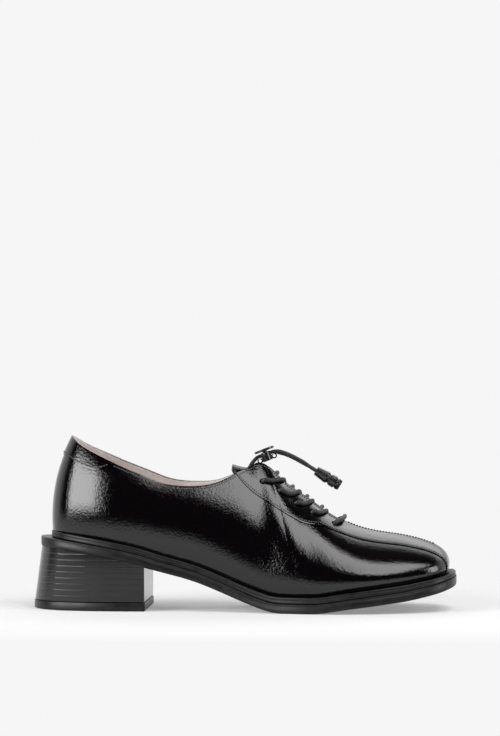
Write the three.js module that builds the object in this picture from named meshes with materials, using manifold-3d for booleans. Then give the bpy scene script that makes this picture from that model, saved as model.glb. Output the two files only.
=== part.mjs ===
// A woman's lace-up shoe for the right foot: a patent upper on a square-toe last, a storm welt,
// a thin outsole, a stacked block heel, and an elastic lace drawn tight by a cord lock.
// Millimetres, +Z up, toe towards +X, outer (lateral) side towards -Y.
import * as THREE from 'three';
import { mergeVertices } from 'three/addons/utils/BufferGeometryUtils.js';
import Module from 'manifold-3d';

const wasm = await Module();
wasm.setup();

// Driving sizes
const soleLength = 264;
const ballWidth = 80;
const instepHeight = 80.2;
const heelHeight = 39.8;
const toeSpring = 16.4;
const outsoleThickness = 5.9;
const weltThickness = 3.7;
const weltInside = 9;
const upperWall = 2;
const overlayStep = 0.5;
const medialLift = 1.3;
const insoleThickness = 2.8;
const tongueThickness = 2;
const heelLength = 68.8;
const heelFlare = 4.6;
const heelTaper = 0.035;
const heelInset = 0.5;
const tipThickness = 5.3;
const clearance = 0.3;

const throatGap = 11;
const throatLength = 51;
const eyeletDiameter = 4.4;
const eyeletInsets = [10.4, 11, 11.1, 10.8, 7.8];
const eyeletPitch = 10.3;
const firstEyelet = 1;
const lastEyeletExtra = 3.6;
const laceDiameter = 2.3;
const laceSides = 8;
const barArch = 3.6;
const barReach = 4.2;
const tongueReach = 19;
const tongueHalfWidth = 19;

const lockLength = 6.7;
const lockWidth = 10;
const lockHeight = 5.8;
const lockWall = 1.1;
const lockFloor = 0.6;
const lockTilt = 21;
const lockAhead = 3.55;
const lockRise = 0.4;
const lugDiameter = 3.6;
const lugHole = 1.9;
const lugThickness = 1.8;
const buttonDiameter = 13;
const buttonThickness = 1;
const buttonTravel = 0.9;
const endLength = 18;
const endMouthDiameter = 5.9;
const endDiameter = 7.8;
const endAhead = 33.8;
const endDrop = 5.8;
const endTurn = 122;

const footLineHeight = outsoleThickness + clearance + weltThickness;

function table(columns, rows) {
  return rows.map((row) => Object.fromEntries(columns.map((name, at) => [name, row[at]])));
}

// The underside of the sole from the side. x is a share of the sole's length, heel a share of the
// heel height and toe a share of the toe spring.
const soleLine = table(['x', 'heel', 'toe'], [
  [0.000, 1.000, 0], [0.045, 0.972, 0], [0.089, 0.935, 0], [0.177, 0.838, 0], [0.248, 0.732, 0],
  [0.300, 0.622, 0], [0.339, 0.553, 0], [0.377, 0.478, 0], [0.416, 0.382, 0], [0.454, 0.277, 0],
  [0.492, 0.173, 0], [0.530, 0.078, 0], [0.560, 0.020, 0], [0.585, 0, 0], [0.650, 0, 0],
  [0.680, 0, 0.030], [0.705, 0, 0.090], [0.742, 0, 0.180], [0.782, 0, 0.265], [0.830, 0, 0.370],
  [0.878, 0, 0.480], [0.917, 0, 0.600], [0.955, 0, 0.745], [0.985, 0, 0.900], [1.000, 0, 1.000],
]);

// The last, as sections that run up from the feather line to the top line, placed from the back
// of the heel round each side to the middle of the toe. x is a share of the sole's length, rise a
// share of the instep height, and widths, swell and reach are shares of the ball width. swell and
// lift (a share of the section's height) shape the side, reach, slope and drop shape the top.
// outsole and welt are the margins in millimetres that stand out past the feather line.
const stations = table(
  ['place', 'footX', 'lateral', 'medial', 'topX', 'topY', 'rise', 'swell', 'lift',
    'reach', 'slope', 'drop', 'outsole', 'welt'],
  [
    ['back', 0.0295, 0, 0, 0.0769, 0, 0.766, 0.019, 0.36, 0.125, 0, 1.90, 7.3, 0.6],
    ['heel corner', 0.0409, 0.150, 0.150, 0.0845, 0.113, 0.748, 0.025, 0.36, 0.125, 0, 1.90, 7.0, 1.0],
    ['heel side', 0.0720, 0.256, 0.256, 0.1061, 0.200, 0.703, 0.037, 0.35, 0.113, 0, 2.00, 6.0, 2.2],
    ['heel seat', 0.1212, 0.319, 0.319, 0.1439, 0.263, 0.657, 0.050, 0.34, 0.100, 0, 2.00, 4.8, 3.3],
    ['heel front', 0.1818, 0.348, 0.345, 0.1932, 0.302, 0.613, 0.056, 0.33, 0.087, 0, 2.00, 4.3, 3.6],
    ['quarter', 0.2462, 0.352, 0.340, 0.2500, 0.325, 0.580, 0.056, 0.32, 0.075, 0, 2.30, 4.0, 3.5],
    ['waist back', 0.3144, 0.350, 0.312, 0.3144, 0.333, 0.570, 0.062, 0.32, 0.075, 0.05, 2.30, 3.9, 3.4],
    ['waist', 0.3826, 0.352, 0.285, 0.3750, 0.325, 0.613, 0.069, 0.32, 0.087, 0.15, 2.20, 3.9, 3.4],
    ['waist front', 0.4508, 0.370, 0.280, 0.4299, 0.292, 0.708, 0.075, 0.32, 0.113, 0.35, 1.80, 4.0, 3.5],
    ['instep back', 0.5152, 0.405, 0.307, 0.4773, 0.225, 0.843, 0.087, 0.32, 0.150, 0.60, 1.20, 4.2, 3.7],
    ['instep', 0.5720, 0.447, 0.355, 0.5265, 0.090, 0.985, 0.100, 0.32, 0.200, 0.80, 0.70, 4.5, 4.0],
    ['throat top', 0.6231, 0.485, 0.405, 0.5341, 0, 1.030, 0.106, 0.32, 0.237, 0.92, 0.42, 4.7, 4.2],
    ['eyestay', 0.6742, 0.510, 0.450, 0.5947, 0, 0.878, 0.106, 0.32, 0.263, 0.80, 0.38, 4.9, 4.4],
    ['ball', 0.7273, 0.520, 0.480, 0.6667, 0, 0.700, 0.106, 0.32, 0.300, 0.62, 0.34, 5.0, 4.5],
    ['throat end', 0.7803, 0.512, 0.490, 0.7348, 0, 0.521, 0.106, 0.33, 0.338, 0.40, 0.28, 5.1, 4.6],
    ['vamp', 0.8295, 0.485, 0.480, 0.7992, 0, 0.428, 0.100, 0.34, 0.338, 0.18, 0.24, 5.2, 4.7],
    ['toe back', 0.8750, 0.443, 0.450, 0.8561, 0, 0.374, 0.087, 0.36, 0.300, 0.13, 0.22, 5.3, 4.8],
    ['toe side', 0.9129, 0.390, 0.410, 0.8939, 0, 0.330, 0.075, 0.38, 0.250, 0.20, 0.20, 5.4, 4.9],
    ['toe corner', 0.9460, 0.318, 0.343, 0.9205, 0, 0.288, 0.062, 0.40, 0.188, 0.30, 0.15, 5.5, 5.0],
    ['toe front', 0.9680, 0.218, 0.240, 0.9356, 0, 0.259, 0.044, 0.42, 0.138, 0.38, 0.08, 5.6, 5.1],
    ['toe middle', 0.9748, 0.110, 0.122, 0.9417, 0, 0.248, 0.033, 0.42, 0.113, 0.42, 0.02, 5.6, 5.1],
    ['toe centre', 0.9762, 0, 0, 0.9432, 0, 0.244, 0.030, 0.42, 0.106, 0.43, 0, 5.6, 5.1],
  ],
);
const lastStation = stations.length - 1;
const throatStation = stations.findIndex((row) => row.place === 'throat top');

// The seam of the panel that runs from the collar over the facings to the toe: its height above
// the foot line beside the facings, and its half width on the toe. The last table is the seam of
// the tab at the back of the collar.
const facingSeam = table(['x', 'rise'], [
  [0.468, 0.866], [0.476, 0.833], [0.504, 0.768], [0.534, 0.727], [0.574, 0.677], [0.606, 0.618],
  [0.644, 0.560],
]);
const toeSeam = table(['x', 'half'], [
  [0.674, 0.285], [0.735, 0.240], [0.800, 0.222], [0.890, 0.212], [0.945, 0.205], [0.990, 0.200],
]);
const tabEdge = table(['x', 'rise'], [
  [-0.03, 0.640], [0.060, 0.605], [0.085, 0.570], [0.112, 0.545], [0.140, 0.535], [0.166, 0.565],
  [0.190, 0.640],
]);

// A smooth curve through evenly spaced values; flat ends suit what crosses the middle unturned.
function spline(values, flatEnds) {
  const last = values.length - 1;
  const upper = new Array(last + 1).fill(0);
  const slopes = new Array(last + 1).fill(0);
  slopes[0] = flatEnds ? 0 : (3 * (values[1] - values[0])) / 2;
  upper[0] = flatEnds ? 0 : 0.5;
  for (let at = 1; at <= last; at += 1) {
    const atEnd = at === last;
    const middle = atEnd ? 2 : 4;
    const difference = atEnd ? values[at] - values[at - 1] : values[at + 1] - values[at - 1];
    const pivot = middle - upper[at - 1];
    upper[at] = 1 / pivot;
    slopes[at] = (3 * difference - slopes[at - 1]) / pivot;
  }
  if (flatEnds) slopes[last] = 0;
  for (let at = last - 1; at >= 0; at -= 1) slopes[at] -= upper[at] * slopes[at + 1];
  return (place) => {
    const at = Math.min(Math.max(Math.floor(place), 0), last - 1);
    const u = place - at;
    const w = 1 - u;
    return values[at] * w * w * (1 + 2 * u) + values[at + 1] * u * u * (3 - 2 * u)
      + slopes[at] * u * w * w - slopes[at + 1] * u * u * w;
  };
}

// A curve through rows at uneven x that never overshoots them, so that flats stay flat.
function profile(rows, xName, yName) {
  const xs = rows.map((row) => row[xName]);
  const ys = rows.map((row) => row[yName]);
  const chords = ys.slice(1).map((y, at) => (y - ys[at]) / (xs[at + 1] - xs[at]));
  const slopes = ys.map((y, at) => {
    if (at === 0) return chords[0];
    if (at === ys.length - 1) return chords[at - 1];
    const [before, after] = [chords[at - 1], chords[at]];
    return before * after <= 0 ? 0 : (2 * before * after) / (before + after);
  });
  return (x) => {
    const inside = Math.min(Math.max(x, xs[0]), xs[xs.length - 1]);
    let at = 0;
    while (at < xs.length - 2 && inside > xs[at + 1]) at += 1;
    const step = xs[at + 1] - xs[at];
    const u = (inside - xs[at]) / step;
    const w = 1 - u;
    return ys[at] * w * w * (1 + 2 * u) + ys[at + 1] * u * u * (3 - 2 * u)
      + step * (slopes[at] * u * w * w - slopes[at + 1] * u * u * w);
  };
}

const heelShare = profile(soleLine, 'x', 'heel');
const toeShare = profile(soleLine, 'x', 'toe');

function underside(x) {
  return heelHeight * heelShare(x / soleLength) + toeSpring * toeShare(x / soleLength);
}

function footLine(x) {
  return underside(x) + footLineHeight;
}

function column(name, flatEnds) {
  return spline(stations.map((row) => row[name]), flatEnds);
}

const station = {
  footX: column('footX', true),
  lateral: column('lateral', false),
  medial: column('medial', false),
  topX: column('topX', true),
  topY: spline(stations.slice(0, throatStation + 1).map((row) => row.topY), false),
  rise: column('rise', true),
  swell: column('swell', true),
  lift: column('lift', true),
  reach: column('reach', true),
  slope: column('slope', true),
  drop: column('drop', true),
  outsole: column('outsole', true),
  welt: column('welt', true),
};

// A point of the feather line in its half of the plan, and the plan direction out of the shoe.
function feather(place, side) {
  const width = side < 0 ? station.lateral : station.medial;
  const step = 0.01;
  const from = Math.max(place - step, 0);
  const to = Math.min(place + step, lastStation);
  const alongX = (station.footX(to) - station.footX(from)) * soleLength;
  const alongY = (width(to) - width(from)) * ballWidth;
  const long = Math.hypot(alongX, alongY);
  const out = [-alongY / long, alongX / long];
  if (place <= 0) out.splice(0, 2, -1, 0);
  if (place >= lastStation) out.splice(0, 2, 1, 0);
  return { x: station.footX(place) * soleLength, y: width(place) * ballWidth, out };
}

// The upper's outer skin, in its half of the plan: up is 0 at the feather line, 1 at the top.
function sectionPoint(place, side, up) {
  const foot = feather(place, side);
  const footZ = footLine(foot.x) + clearance;
  const topX = station.topX(place) * soleLength;
  const topY = place >= throatStation ? 0 : station.topY(place) * ballWidth;
  const raised = side > 0 ? medialLift : 0;
  const along = Math.min(place / throatStation, 1);
  const topZ = footLine(topX) + station.rise(place) * instepHeight
    + raised * Math.sin(Math.PI * along) ** 2;
  const swell = station.swell(place) * ballWidth;
  const side1 = [
    foot.x + foot.out[0] * swell,
    foot.y + foot.out[1] * swell,
    footZ + station.lift(place) * (topZ - footZ),
  ];
  const across = Math.hypot(side1[0] - topX, side1[1] - topY);
  const toSide = [(side1[0] - topX) / across, (side1[1] - topY) / across];
  const reach = station.reach(place) * ballWidth;
  const fall = station.slope(place) * Math.max(toSide[0], 0) + station.drop(place) * fadeAtToe(place);
  const side2 = [topX + toSide[0] * reach, topY + toSide[1] * reach, topZ - fall * reach];
  const down = 1 - up;
  const shares = [down ** 3, 3 * up * down * down, 3 * up * up * down, up ** 3];
  const corners = [[foot.x, foot.y, footZ], side1, side2, [topX, topY, topZ]];
  return [0, 1, 2].map((axis) => corners.reduce((sum, c, at) => sum + c[axis] * shares[at], 0));
}

function fadeAtToe(place) {
  return Math.min(Math.max(lastStation - place, 0), 1);
}

// The same skin moved out of the shoe by a distance, in the shoe's own axes.
function upperPoint(place, side, up, outset) {
  const step = 0.002;
  const span = (low, high) => high.map((value, axis) => value - low[axis]);
  const onRidge = up > 1 - 1e-9 && place >= throatStation;
  const along = span(
    sectionPoint(Math.max(place - step, onRidge ? throatStation : 0), side, up),
    sectionPoint(Math.min(place + step, lastStation), side, up),
  );
  const upward = span(
    sectionPoint(place, side, Math.max(up - step, 0)),
    sectionPoint(place, side, Math.min(up + step, 1)),
  );
  const normal = new THREE.Vector3(...upward).cross(new THREE.Vector3(...along));
  const onEndSection = place <= 0 || place >= lastStation;
  const onMiddle = onEndSection || onRidge;
  if (onMiddle) {
    const [x, , z] = onEndSection ? upward : along;
    const turn = Math.sign(normal.x * z - normal.z * x);
    normal.set(z * turn, 0, -x * turn);
  }
  normal.normalize();
  const skin = sectionPoint(place, side, up);
  const half = skin[1] + normal.y * outset;
  return new THREE.Vector3(
    skin[0] + normal.x * outset,
    onMiddle ? 0 : side * half,
    skin[2] + normal.z * outset,
  );
}

// The skin's place over a point of the plan, found by Newton's steps.
function skinOver(x, y, outset) {
  const side = y > 0 ? 1 : -1;
  let place = throatStation + 1.5;
  let up = 0.8;
  const step = 0.001;
  for (let round = 0; round < 40; round += 1) {
    const here = upperPoint(place, side, up, outset);
    const ahead = upperPoint(place + step, side, up, outset);
    const above = upperPoint(place, side, up - step, outset);
    const a = (ahead.x - here.x) / step;
    const b = (above.x - here.x) / -step;
    const c = (ahead.y - here.y) / step;
    const d = (above.y - here.y) / -step;
    const det = a * d - b * c;
    const [missX, missY] = [x - here.x, y - here.y];
    const moveAlong = (missX * d - missY * b) / det;
    const moveUp = (missY * a - missX * c) / det;
    place = Math.min(Math.max(place + THREE.MathUtils.clamp(moveAlong, -0.5, 0.5), 0), lastStation - 0.01);
    up = Math.min(Math.max(up + THREE.MathUtils.clamp(moveUp, -0.1, 0.1), 0.05), 0.9995);
  }
  return upperPoint(place, side, up, outset);
}

function closedGeometry(triangles) {
  const geometry = new THREE.BufferGeometry();
  geometry.setAttribute('position', new THREE.Float32BufferAttribute(triangles.flat(), 3));
  return mergeVertices(geometry, 1e-4);
}

function quad(triangles, a, b, c, d) {
  triangles.push(...a, ...b, ...c, ...a, ...c, ...d);
}

function withoutSlivers(triangles) {
  const kept = [];
  for (let at = 0; at < triangles.length; at += 9) {
    const [a, b, c] = [0, 3, 6].map((from) => new THREE.Vector3(...triangles.slice(at + from, at + from + 3)));
    const touching = a.distanceTo(b) < 1e-4 || b.distanceTo(c) < 1e-4 || c.distanceTo(a) < 1e-4;
    if (!touching) kept.push(...triangles.slice(at, at + 9));
  }
  return kept;
}

const placeSteps = 2 * lastStation;
const throatStep = 2 * throatStation;
const upSteps = 8;

// A shell between two outsets of the last's skin, open underneath and at the collar.
function shell(outset, inset, lowest, highest) {
  const triangles = [];
  for (const side of [-1, 1]) {
    const skin = (distance) => Array.from({ length: placeSteps + 1 }, (_, i) => (
      Array.from({ length: upSteps + 1 }, (__, j) => {
        const top = i >= throatStep ? 1 : highest;
        const up = THREE.MathUtils.clamp(j / upSteps, lowest, top);
        return upperPoint(i / 2, side, up, distance).toArray();
      })
    ));
    const outer = skin(outset);
    const inner = skin(-inset);
    const face = (a, b, c, d) => (side < 0 ? quad(triangles, a, b, c, d) : quad(triangles, d, c, b, a));
    for (let i = 0; i < placeSteps; i += 1) {
      for (let j = 0; j < upSteps; j += 1) {
        face(outer[i][j], outer[i + 1][j], outer[i + 1][j + 1], outer[i][j + 1]);
        face(inner[i][j + 1], inner[i + 1][j + 1], inner[i + 1][j], inner[i][j]);
      }
      face(outer[i][0], inner[i][0], inner[i + 1][0], outer[i + 1][0]);
      if (i < throatStep) {
        face(outer[i][upSteps], outer[i + 1][upSteps], inner[i + 1][upSteps], inner[i][upSteps]);
      }
    }
  }
  return closedGeometry(withoutSlivers(triangles));
}

function toSolid(geometry) {
  const bare = geometry.clone();
  for (const name of Object.keys(bare.attributes)) {
    if (name !== 'position') bare.deleteAttribute(name);
  }
  const merged = mergeVertices(bare, 1e-4);
  return new wasm.Manifold(new wasm.Mesh({
    numProp: 3,
    vertProperties: new Float32Array(merged.attributes.position.array),
    triVerts: new Uint32Array(merged.index.array),
  }));
}

function toGeometry(solid) {
  const mesh = solid.getMesh();
  const geometry = new THREE.BufferGeometry();
  geometry.setAttribute('position', new THREE.Float32BufferAttribute(mesh.vertProperties, 3));
  geometry.setIndex(new THREE.Uint32BufferAttribute(mesh.triVerts, 1));
  return geometry;
}

// A prism over an outline drawn in the plan, between two heights.
function planPrism(outline, low, high) {
  const shape = new THREE.Shape(outline.map(([x, y]) => new THREE.Vector2(x, y)));
  const geometry = new THREE.ExtrudeGeometry(shape, { depth: high - low, bevelEnabled: false });
  return toSolid(geometry.translate(0, 0, low));
}

// A prism right across the shoe over an outline drawn from the side.
function sidePrism(outline) {
  const shape = new THREE.Shape(outline.map(([x, z]) => new THREE.Vector2(x, z)));
  const geometry = new THREE.ExtrudeGeometry(shape, { depth: 2 * ballWidth, bevelEnabled: false });
  geometry.rotateX(Math.PI / 2);
  return toSolid(geometry.translate(0, ballWidth, 0));
}

function upperHeights() {
  return { low: footLineHeight, high: heelHeight + footLineHeight + instepHeight + toeSpring };
}

const throatX = stations[throatStation].topX * soleLength;
const throatEndX = throatX + throatLength;

// The open slot between the facings, flared where the facings round off at the collar.
function throatSlot() {
  const half = throatGap / 2;
  const narrow = half * 0.8;
  const right = [
    [throatX - 14, half + 6], [throatX - 4.5, half + 2.2], [throatX, half + 0.9],
    [throatX + 4, half], [throatEndX - 6, narrow],
  ];
  const roundEnd = [0.25, 0.5, 0.75].map((turn) => [
    throatEndX - narrow + narrow * Math.sin((turn * Math.PI) / 2),
    narrow * Math.cos((turn * Math.PI) / 2),
  ]);
  const edge = [...right, ...roundEnd, [throatEndX, 0]];
  const back = edge.slice(0, -1).reverse().map(([x, y]) => [x, -y]);
  const heights = upperHeights();
  return planPrism([...edge, ...back], heights.low + instepHeight * 0.4, heights.high);
}

function seenFromSide(rows) {
  return rows.map((row) => {
    const x = row.x * soleLength;
    return [x, footLine(x) + row.rise * instepHeight];
  });
}

function aboveSeam(seam) {
  const { high } = upperHeights();
  return sidePrism([...seam, [seam[seam.length - 1][0], high], [seam[0][0], high]]);
}

function panelPrism() {
  const edge = toeSeam.map((row) => [row.x * soleLength, row.half * ballWidth]);
  const back = [...edge].reverse().map(([x, y]) => [x, -y]);
  const [joinX, joinHalf] = edge[0];
  const joinZ = skinOver(joinX, -joinHalf, 0).z;
  const beside = aboveSeam([...seenFromSide(facingSeam), [joinX, joinZ]]);
  return planPrism([...edge, ...back], 0, upperHeights().high).add(beside);
}

function tabPrism() {
  return aboveSeam(seenFromSide(tabEdge));
}

const eyelets = eyeletInsets.map((inset, row) => ({
  x: throatX + firstEyelet + row * eyeletPitch + (row === 4 ? lastEyeletExtra : 0),
  y: throatGap / 2 + inset,
}));

function skinNormal(x, y) {
  const low = skinOver(x, y, 0);
  const onX = skinOver(x + 0.5, y, 0).sub(low);
  const onY = skinOver(x, y + 0.5, 0).sub(low);
  return onX.cross(onY).normalize();
}

function eyeletPunch(x, y) {
  const at = skinOver(x, y, 0);
  const pin = new THREE.CylinderGeometry(eyeletDiameter / 2, eyeletDiameter / 2, 5 * upperWall, 12);
  const turn = new THREE.Quaternion().setFromUnitVectors(new THREE.Vector3(0, 1, 0), skinNormal(x, y));
  pin.applyQuaternion(turn);
  return toSolid(pin.translate(at.x, at.y, at.z));
}

function upper() {
  const base = toSolid(shell(0, upperWall, 0, 1));
  const overlay = toSolid(shell(overlayStep, upperWall / 3, 0.02, 0.985));
  let solid = base.add(overlay.intersect(panelPrism())).add(overlay.intersect(tabPrism()));
  solid = solid.subtract(throatSlot());
  for (const { x, y } of eyelets) {
    for (const side of [-1, 1]) solid = solid.subtract(eyeletPunch(x, side * y));
  }
  return toGeometry(solid);
}

// Closed loops round the plan at a margin from the feather line, from the back by the lateral
// side to the toe and back by the medial side.
const loopSteps = 34;

function loop(margin, height, from = 0, to = 1) {
  const half = (side) => Array.from({ length: loopSteps + 1 }, (_, at) => {
    const place = (from + ((to - from) * at) / loopSteps) * lastStation;
    const foot = feather(place, side);
    const out = typeof margin === 'function' ? margin(place) : margin;
    const x = foot.x + foot.out[0] * out;
    return [x, side * (foot.y + foot.out[1] * out), height(x)];
  });
  return { lateral: half(-1), medial: half(1) };
}

function ringOf({ lateral, medial }) {
  return [...lateral, ...medial.slice(1, -1).reverse()];
}

function bands(triangles, loops, closed) {
  const rings = loops.map(ringOf);
  const count = rings[0].length;
  const pairs = closed ? rings.length : rings.length - 1;
  for (let level = 0; level < pairs; level += 1) {
    const low = rings[level];
    const high = rings[(level + 1) % rings.length];
    for (let at = 0; at < count; at += 1) {
      const next = (at + 1) % count;
      quad(triangles, low[at], low[next], high[next], high[at]);
    }
  }
}

function cap(triangles, { lateral, medial }, upwards) {
  for (let at = 0; at < loopSteps; at += 1) {
    const corners = [lateral[at], lateral[at + 1], medial[at + 1], medial[at]];
    if (upwards) quad(triangles, ...corners);
    else quad(triangles, ...corners.reverse());
  }
}

// A solid between loops listed from its underside to its top.
function stack(loops) {
  const triangles = [];
  bands(triangles, loops, false);
  cap(triangles, loops[0], false);
  cap(triangles, loops[loops.length - 1], true);
  return closedGeometry(withoutSlivers(triangles));
}

const bevel = 0.8;

function outsole() {
  const top = (x) => underside(x) + outsoleThickness;
  const deck = -(weltInside + clearance);
  return stack([
    loop((place) => station.outsole(place) - bevel, underside),
    loop(station.outsole, (x) => underside(x) + bevel),
    loop(station.outsole, (x) => top(x) - bevel),
    loop((place) => station.outsole(place) - bevel, top),
    loop(0, top),
    loop(deck, top),
    loop(deck, (x) => top(x) + weltThickness),
  ]);
}

function welt() {
  const bottom = (x) => underside(x) + outsoleThickness + clearance;
  const triangles = [];
  bands(triangles, [
    loop(-weltInside, bottom),
    loop(0, bottom),
    loop((place) => station.welt(place) - bevel, bottom),
    loop(station.welt, (x) => bottom(x) + bevel),
    loop(station.welt, (x) => bottom(x) + weltThickness - bevel / 2),
    loop((place) => station.welt(place) - bevel / 2, (x) => bottom(x) + weltThickness),
    loop(0, (x) => bottom(x) + weltThickness),
    loop(-weltInside, (x) => bottom(x) + weltThickness),
  ], true);
  return closedGeometry(withoutSlivers(triangles));
}

function insole() {
  const low = (x) => footLine(x) + clearance;
  const edge = -(upperWall + 2.5 * clearance);
  return stack([
    loop(edge, low),
    loop(edge, (x) => low(x) + insoleThickness - bevel),
    loop(edge - bevel, (x) => low(x) + insoleThickness),
  ]);
}

// The block heel's outline at a share of the way down from the outsole.
const heelSteps = 12;

function heelOutline(down, grow) {
  const side = (sign) => Array.from({ length: heelSteps + 1 }, (_, at) => {
    const breastPlace = 5.35;
    const place = (breastPlace * at) / heelSteps;
    const foot = feather(place, sign);
    const out = station.outsole(place) - heelInset + grow;
    const backness = Math.max(1 - (2 * place) / breastPlace, 0);
    const x = foot.x + foot.out[0] * out - heelFlare * down * backness;
    const y = (foot.y + foot.out[1] * out) * (1 - heelTaper * down);
    return [Math.min(x, heelLength + grow), sign * y];
  });
  return { lateral: side(-1), medial: side(1) };
}

function heelStack(levels) {
  const triangles = [];
  const rings = levels.map(({ down, grow, height }) => {
    const { lateral, medial } = heelOutline(down, grow);
    const lift = ([x, y]) => [x, y, height(x)];
    return { lateral: lateral.map(lift), medial: medial.map(lift) };
  });
  const around = rings.map(({ lateral, medial }) => [...lateral, ...medial.slice(1).reverse()]);
  const count = around[0].length;
  for (let level = 0; level < around.length - 1; level += 1) {
    for (let at = 0; at < count; at += 1) {
      const next = (at + 1) % count;
      quad(triangles, around[level][at], around[level][next], around[level + 1][next], around[level + 1][at]);
    }
  }
  for (const [ring, upwards] of [[rings[0], false], [rings[rings.length - 1], true]]) {
    for (let at = 0; at < heelSteps; at += 1) {
      const corners = [ring.lateral[at], ring.lateral[at + 1], ring.medial[at + 1], ring.medial[at]];
      quad(triangles, ...(upwards ? corners : corners.reverse()));
    }
  }
  return closedGeometry(withoutSlivers(triangles));
}

function heelBlock() {
  const floor = tipThickness + clearance;
  return heelStack([
    { down: 1, grow: 0, height: () => floor },
    { down: 0, grow: 0, height: (x) => underside(x) - clearance },
  ]);
}

function heelTip() {
  return heelStack([
    { down: 1, grow: -0.3, height: () => 0 },
    { down: 1, grow: 0.4, height: () => bevel },
    { down: 1, grow: 0.4, height: () => tipThickness },
  ]);
}

// The tongue lies under the facings, and bends level where it comes out at the collar.
const tongueTopX = throatX - tongueReach;
const tongueEndX = throatEndX + 7;
const tongueBendX = throatX + 4;
const tongueBendRadius = 0.8;

function tongueHeight(x, y) {
  const past = Math.max(tongueBendX - x, 0);
  const level = tongueBendRadius * 0.92 * (1 - Math.exp(-past / tongueBendRadius));
  const tip = 0.012 * Math.max(past - 8, 0) ** 2;
  return skinOver(Math.max(x, tongueBendX), y, -(upperWall + clearance + 0.2)).z + level + tip;
}

function tongue() {
  const rows = 13;
  const columns = 8;
  const grid = (depth) => Array.from({ length: rows + 1 }, (_, i) => {
    const share = i / rows;
    const x = tongueTopX + (tongueEndX - tongueTopX) * share;
    const half = tongueHalfWidth * Math.min(0.45 + 1.6 * share, 1) - 4 * Math.max(share - 0.7, 0);
    return Array.from({ length: columns + 1 }, (__, j) => {
      const y = half * ((2 * j) / columns - 1);
      return [x, y, tongueHeight(x, y === 0 ? -0.01 : y) - depth];
    });
  });
  const top = grid(0);
  const base = grid(tongueThickness);
  const triangles = [];
  for (let i = 0; i < rows; i += 1) {
    for (let j = 0; j < columns; j += 1) {
      quad(triangles, top[i][j], top[i + 1][j], top[i + 1][j + 1], top[i][j + 1]);
      quad(triangles, base[i][j + 1], base[i + 1][j + 1], base[i + 1][j], base[i][j]);
    }
    quad(triangles, base[i][0], base[i + 1][0], top[i + 1][0], top[i][0]);
    quad(triangles, top[i][columns], top[i + 1][columns], base[i + 1][columns], base[i][columns]);
  }
  for (let j = 0; j < columns; j += 1) {
    quad(triangles, base[0][j + 1], base[0][j], top[0][j], top[0][j + 1]);
    quad(triangles, base[rows][j], base[rows][j + 1], top[rows][j + 1], top[rows][j]);
  }
  return closedGeometry(triangles);
}

// A round tube through points, closed at both ends.
function tube(points, diameter, steps) {
  const path = new THREE.CatmullRomCurve3(points.map((point) => new THREE.Vector3(...point)));
  const shape = new THREE.Shape();
  for (let corner = 0; corner < laceSides; corner += 1) {
    const turn = ((corner + 0.5) * 2 * Math.PI) / laceSides;
    const at = [Math.cos(turn), Math.sin(turn)].map((value) => (value * diameter) / 2);
    if (corner === 0) shape.moveTo(...at);
    else shape.lineTo(...at);
  }
  shape.closePath();
  return new THREE.ExtrudeGeometry(shape, { steps, extrudePath: path, curveSegments: 1 });
}

function facingOut(geometry) {
  const bare = geometry.clone();
  bare.deleteAttribute('normal');
  bare.deleteAttribute('uv');
  const merged = mergeVertices(bare, 1e-4);
  const [place, index] = [merged.attributes.position, merged.index];
  const corner = (at) => new THREE.Vector3().fromBufferAttribute(place, index.getX(at));
  let volume = 0;
  for (let at = 0; at < index.count; at += 3) {
    volume += corner(at).dot(corner(at + 1).cross(corner(at + 2)));
  }
  if (volume < 0) index.array.reverse();
  return merged;
}

const laceLift = overlayStep + clearance + 0.1 + laceDiameter / 2;

// How far ahead of its eyelet each strand crosses the middle of the throat.
const crossReach = [13.3, 12.8, 10.6, 8.9];

// A strand comes up beside its eyelet, crosses the throat, and ends where it passes under the
// other facing. along is a share of its reach, across a share of the eyelet's distance from the
// middle, and lift is in lace diameters above the facings.
const strandRun = table(['along', 'across', 'lift'], [
  [0.05, 0.950, 0.08], [0.30, 0.720, 0.20], [0.62, 0.400, 0.28],
  [1.00, 0.004, -0.80], [1.14, -0.100, -1.10], [1.22, -0.140, -1.18],
]);

function crossing(row) {
  const here = eyelets[row];
  const strand = (side) => tube(strandRun.map(({ along, across, lift }) => {
    const x = here.x + along * crossReach[row];
    return skinOver(x, side * across * here.y, laceLift + lift * laceDiameter).toArray();
  }), laceDiameter, 8);
  const [one, other] = [-1, 1].map((side) => toSolid(facingOut(strand(side))));
  return toGeometry(one.add(other));
}

function bottomBar() {
  const { x, y } = eyelets[eyelets.length - 1];
  const half = (side) => [
    skinOver(x + 0.1 * barReach, side * y * 0.95, laceLift + 0.06 * barArch),
    skinOver(x + 0.35 * barReach, side * y * 0.72, laceLift + 0.5 * barArch),
    skinOver(x + 0.75 * barReach, side * y * 0.38, laceLift + 0.88 * barArch),
  ].map((point) => point.toArray());
  const middle = skinOver(x + barReach, -0.05, laceLift + barArch).toArray();
  return facingOut(tube([...half(-1), middle, ...half(1).reverse()], laceDiameter, 12));
}

// The cord lock: an oval barrel with a cross hole for both cords and a lug at each end, and a
// sprung button that nips the cords. Both are drawn upright round their own axis and then tilted.
const throatTop = footLine(throatX) + instepHeight;
const lockPlace = new THREE.Vector3(throatX + lockAhead, 0, throatTop + lockRise);
const holeHeight = laceDiameter + 2 * clearance;
const holeWidth = 2 * laceDiameter + 3 * clearance;
const cordLevel = 4.3;
const cordSpread = (laceDiameter + clearance) / 2;
const buttonGap = buttonTravel + clearance;
const lockSides = 18;

function disc(long, wide, low, high) {
  const geometry = new THREE.CylinderGeometry(0.5, 0.5, high - low, lockSides);
  return toSolid(geometry.rotateX(Math.PI / 2).scale(long, wide, 1).translate(0, 0, (low + high) / 2));
}

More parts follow.
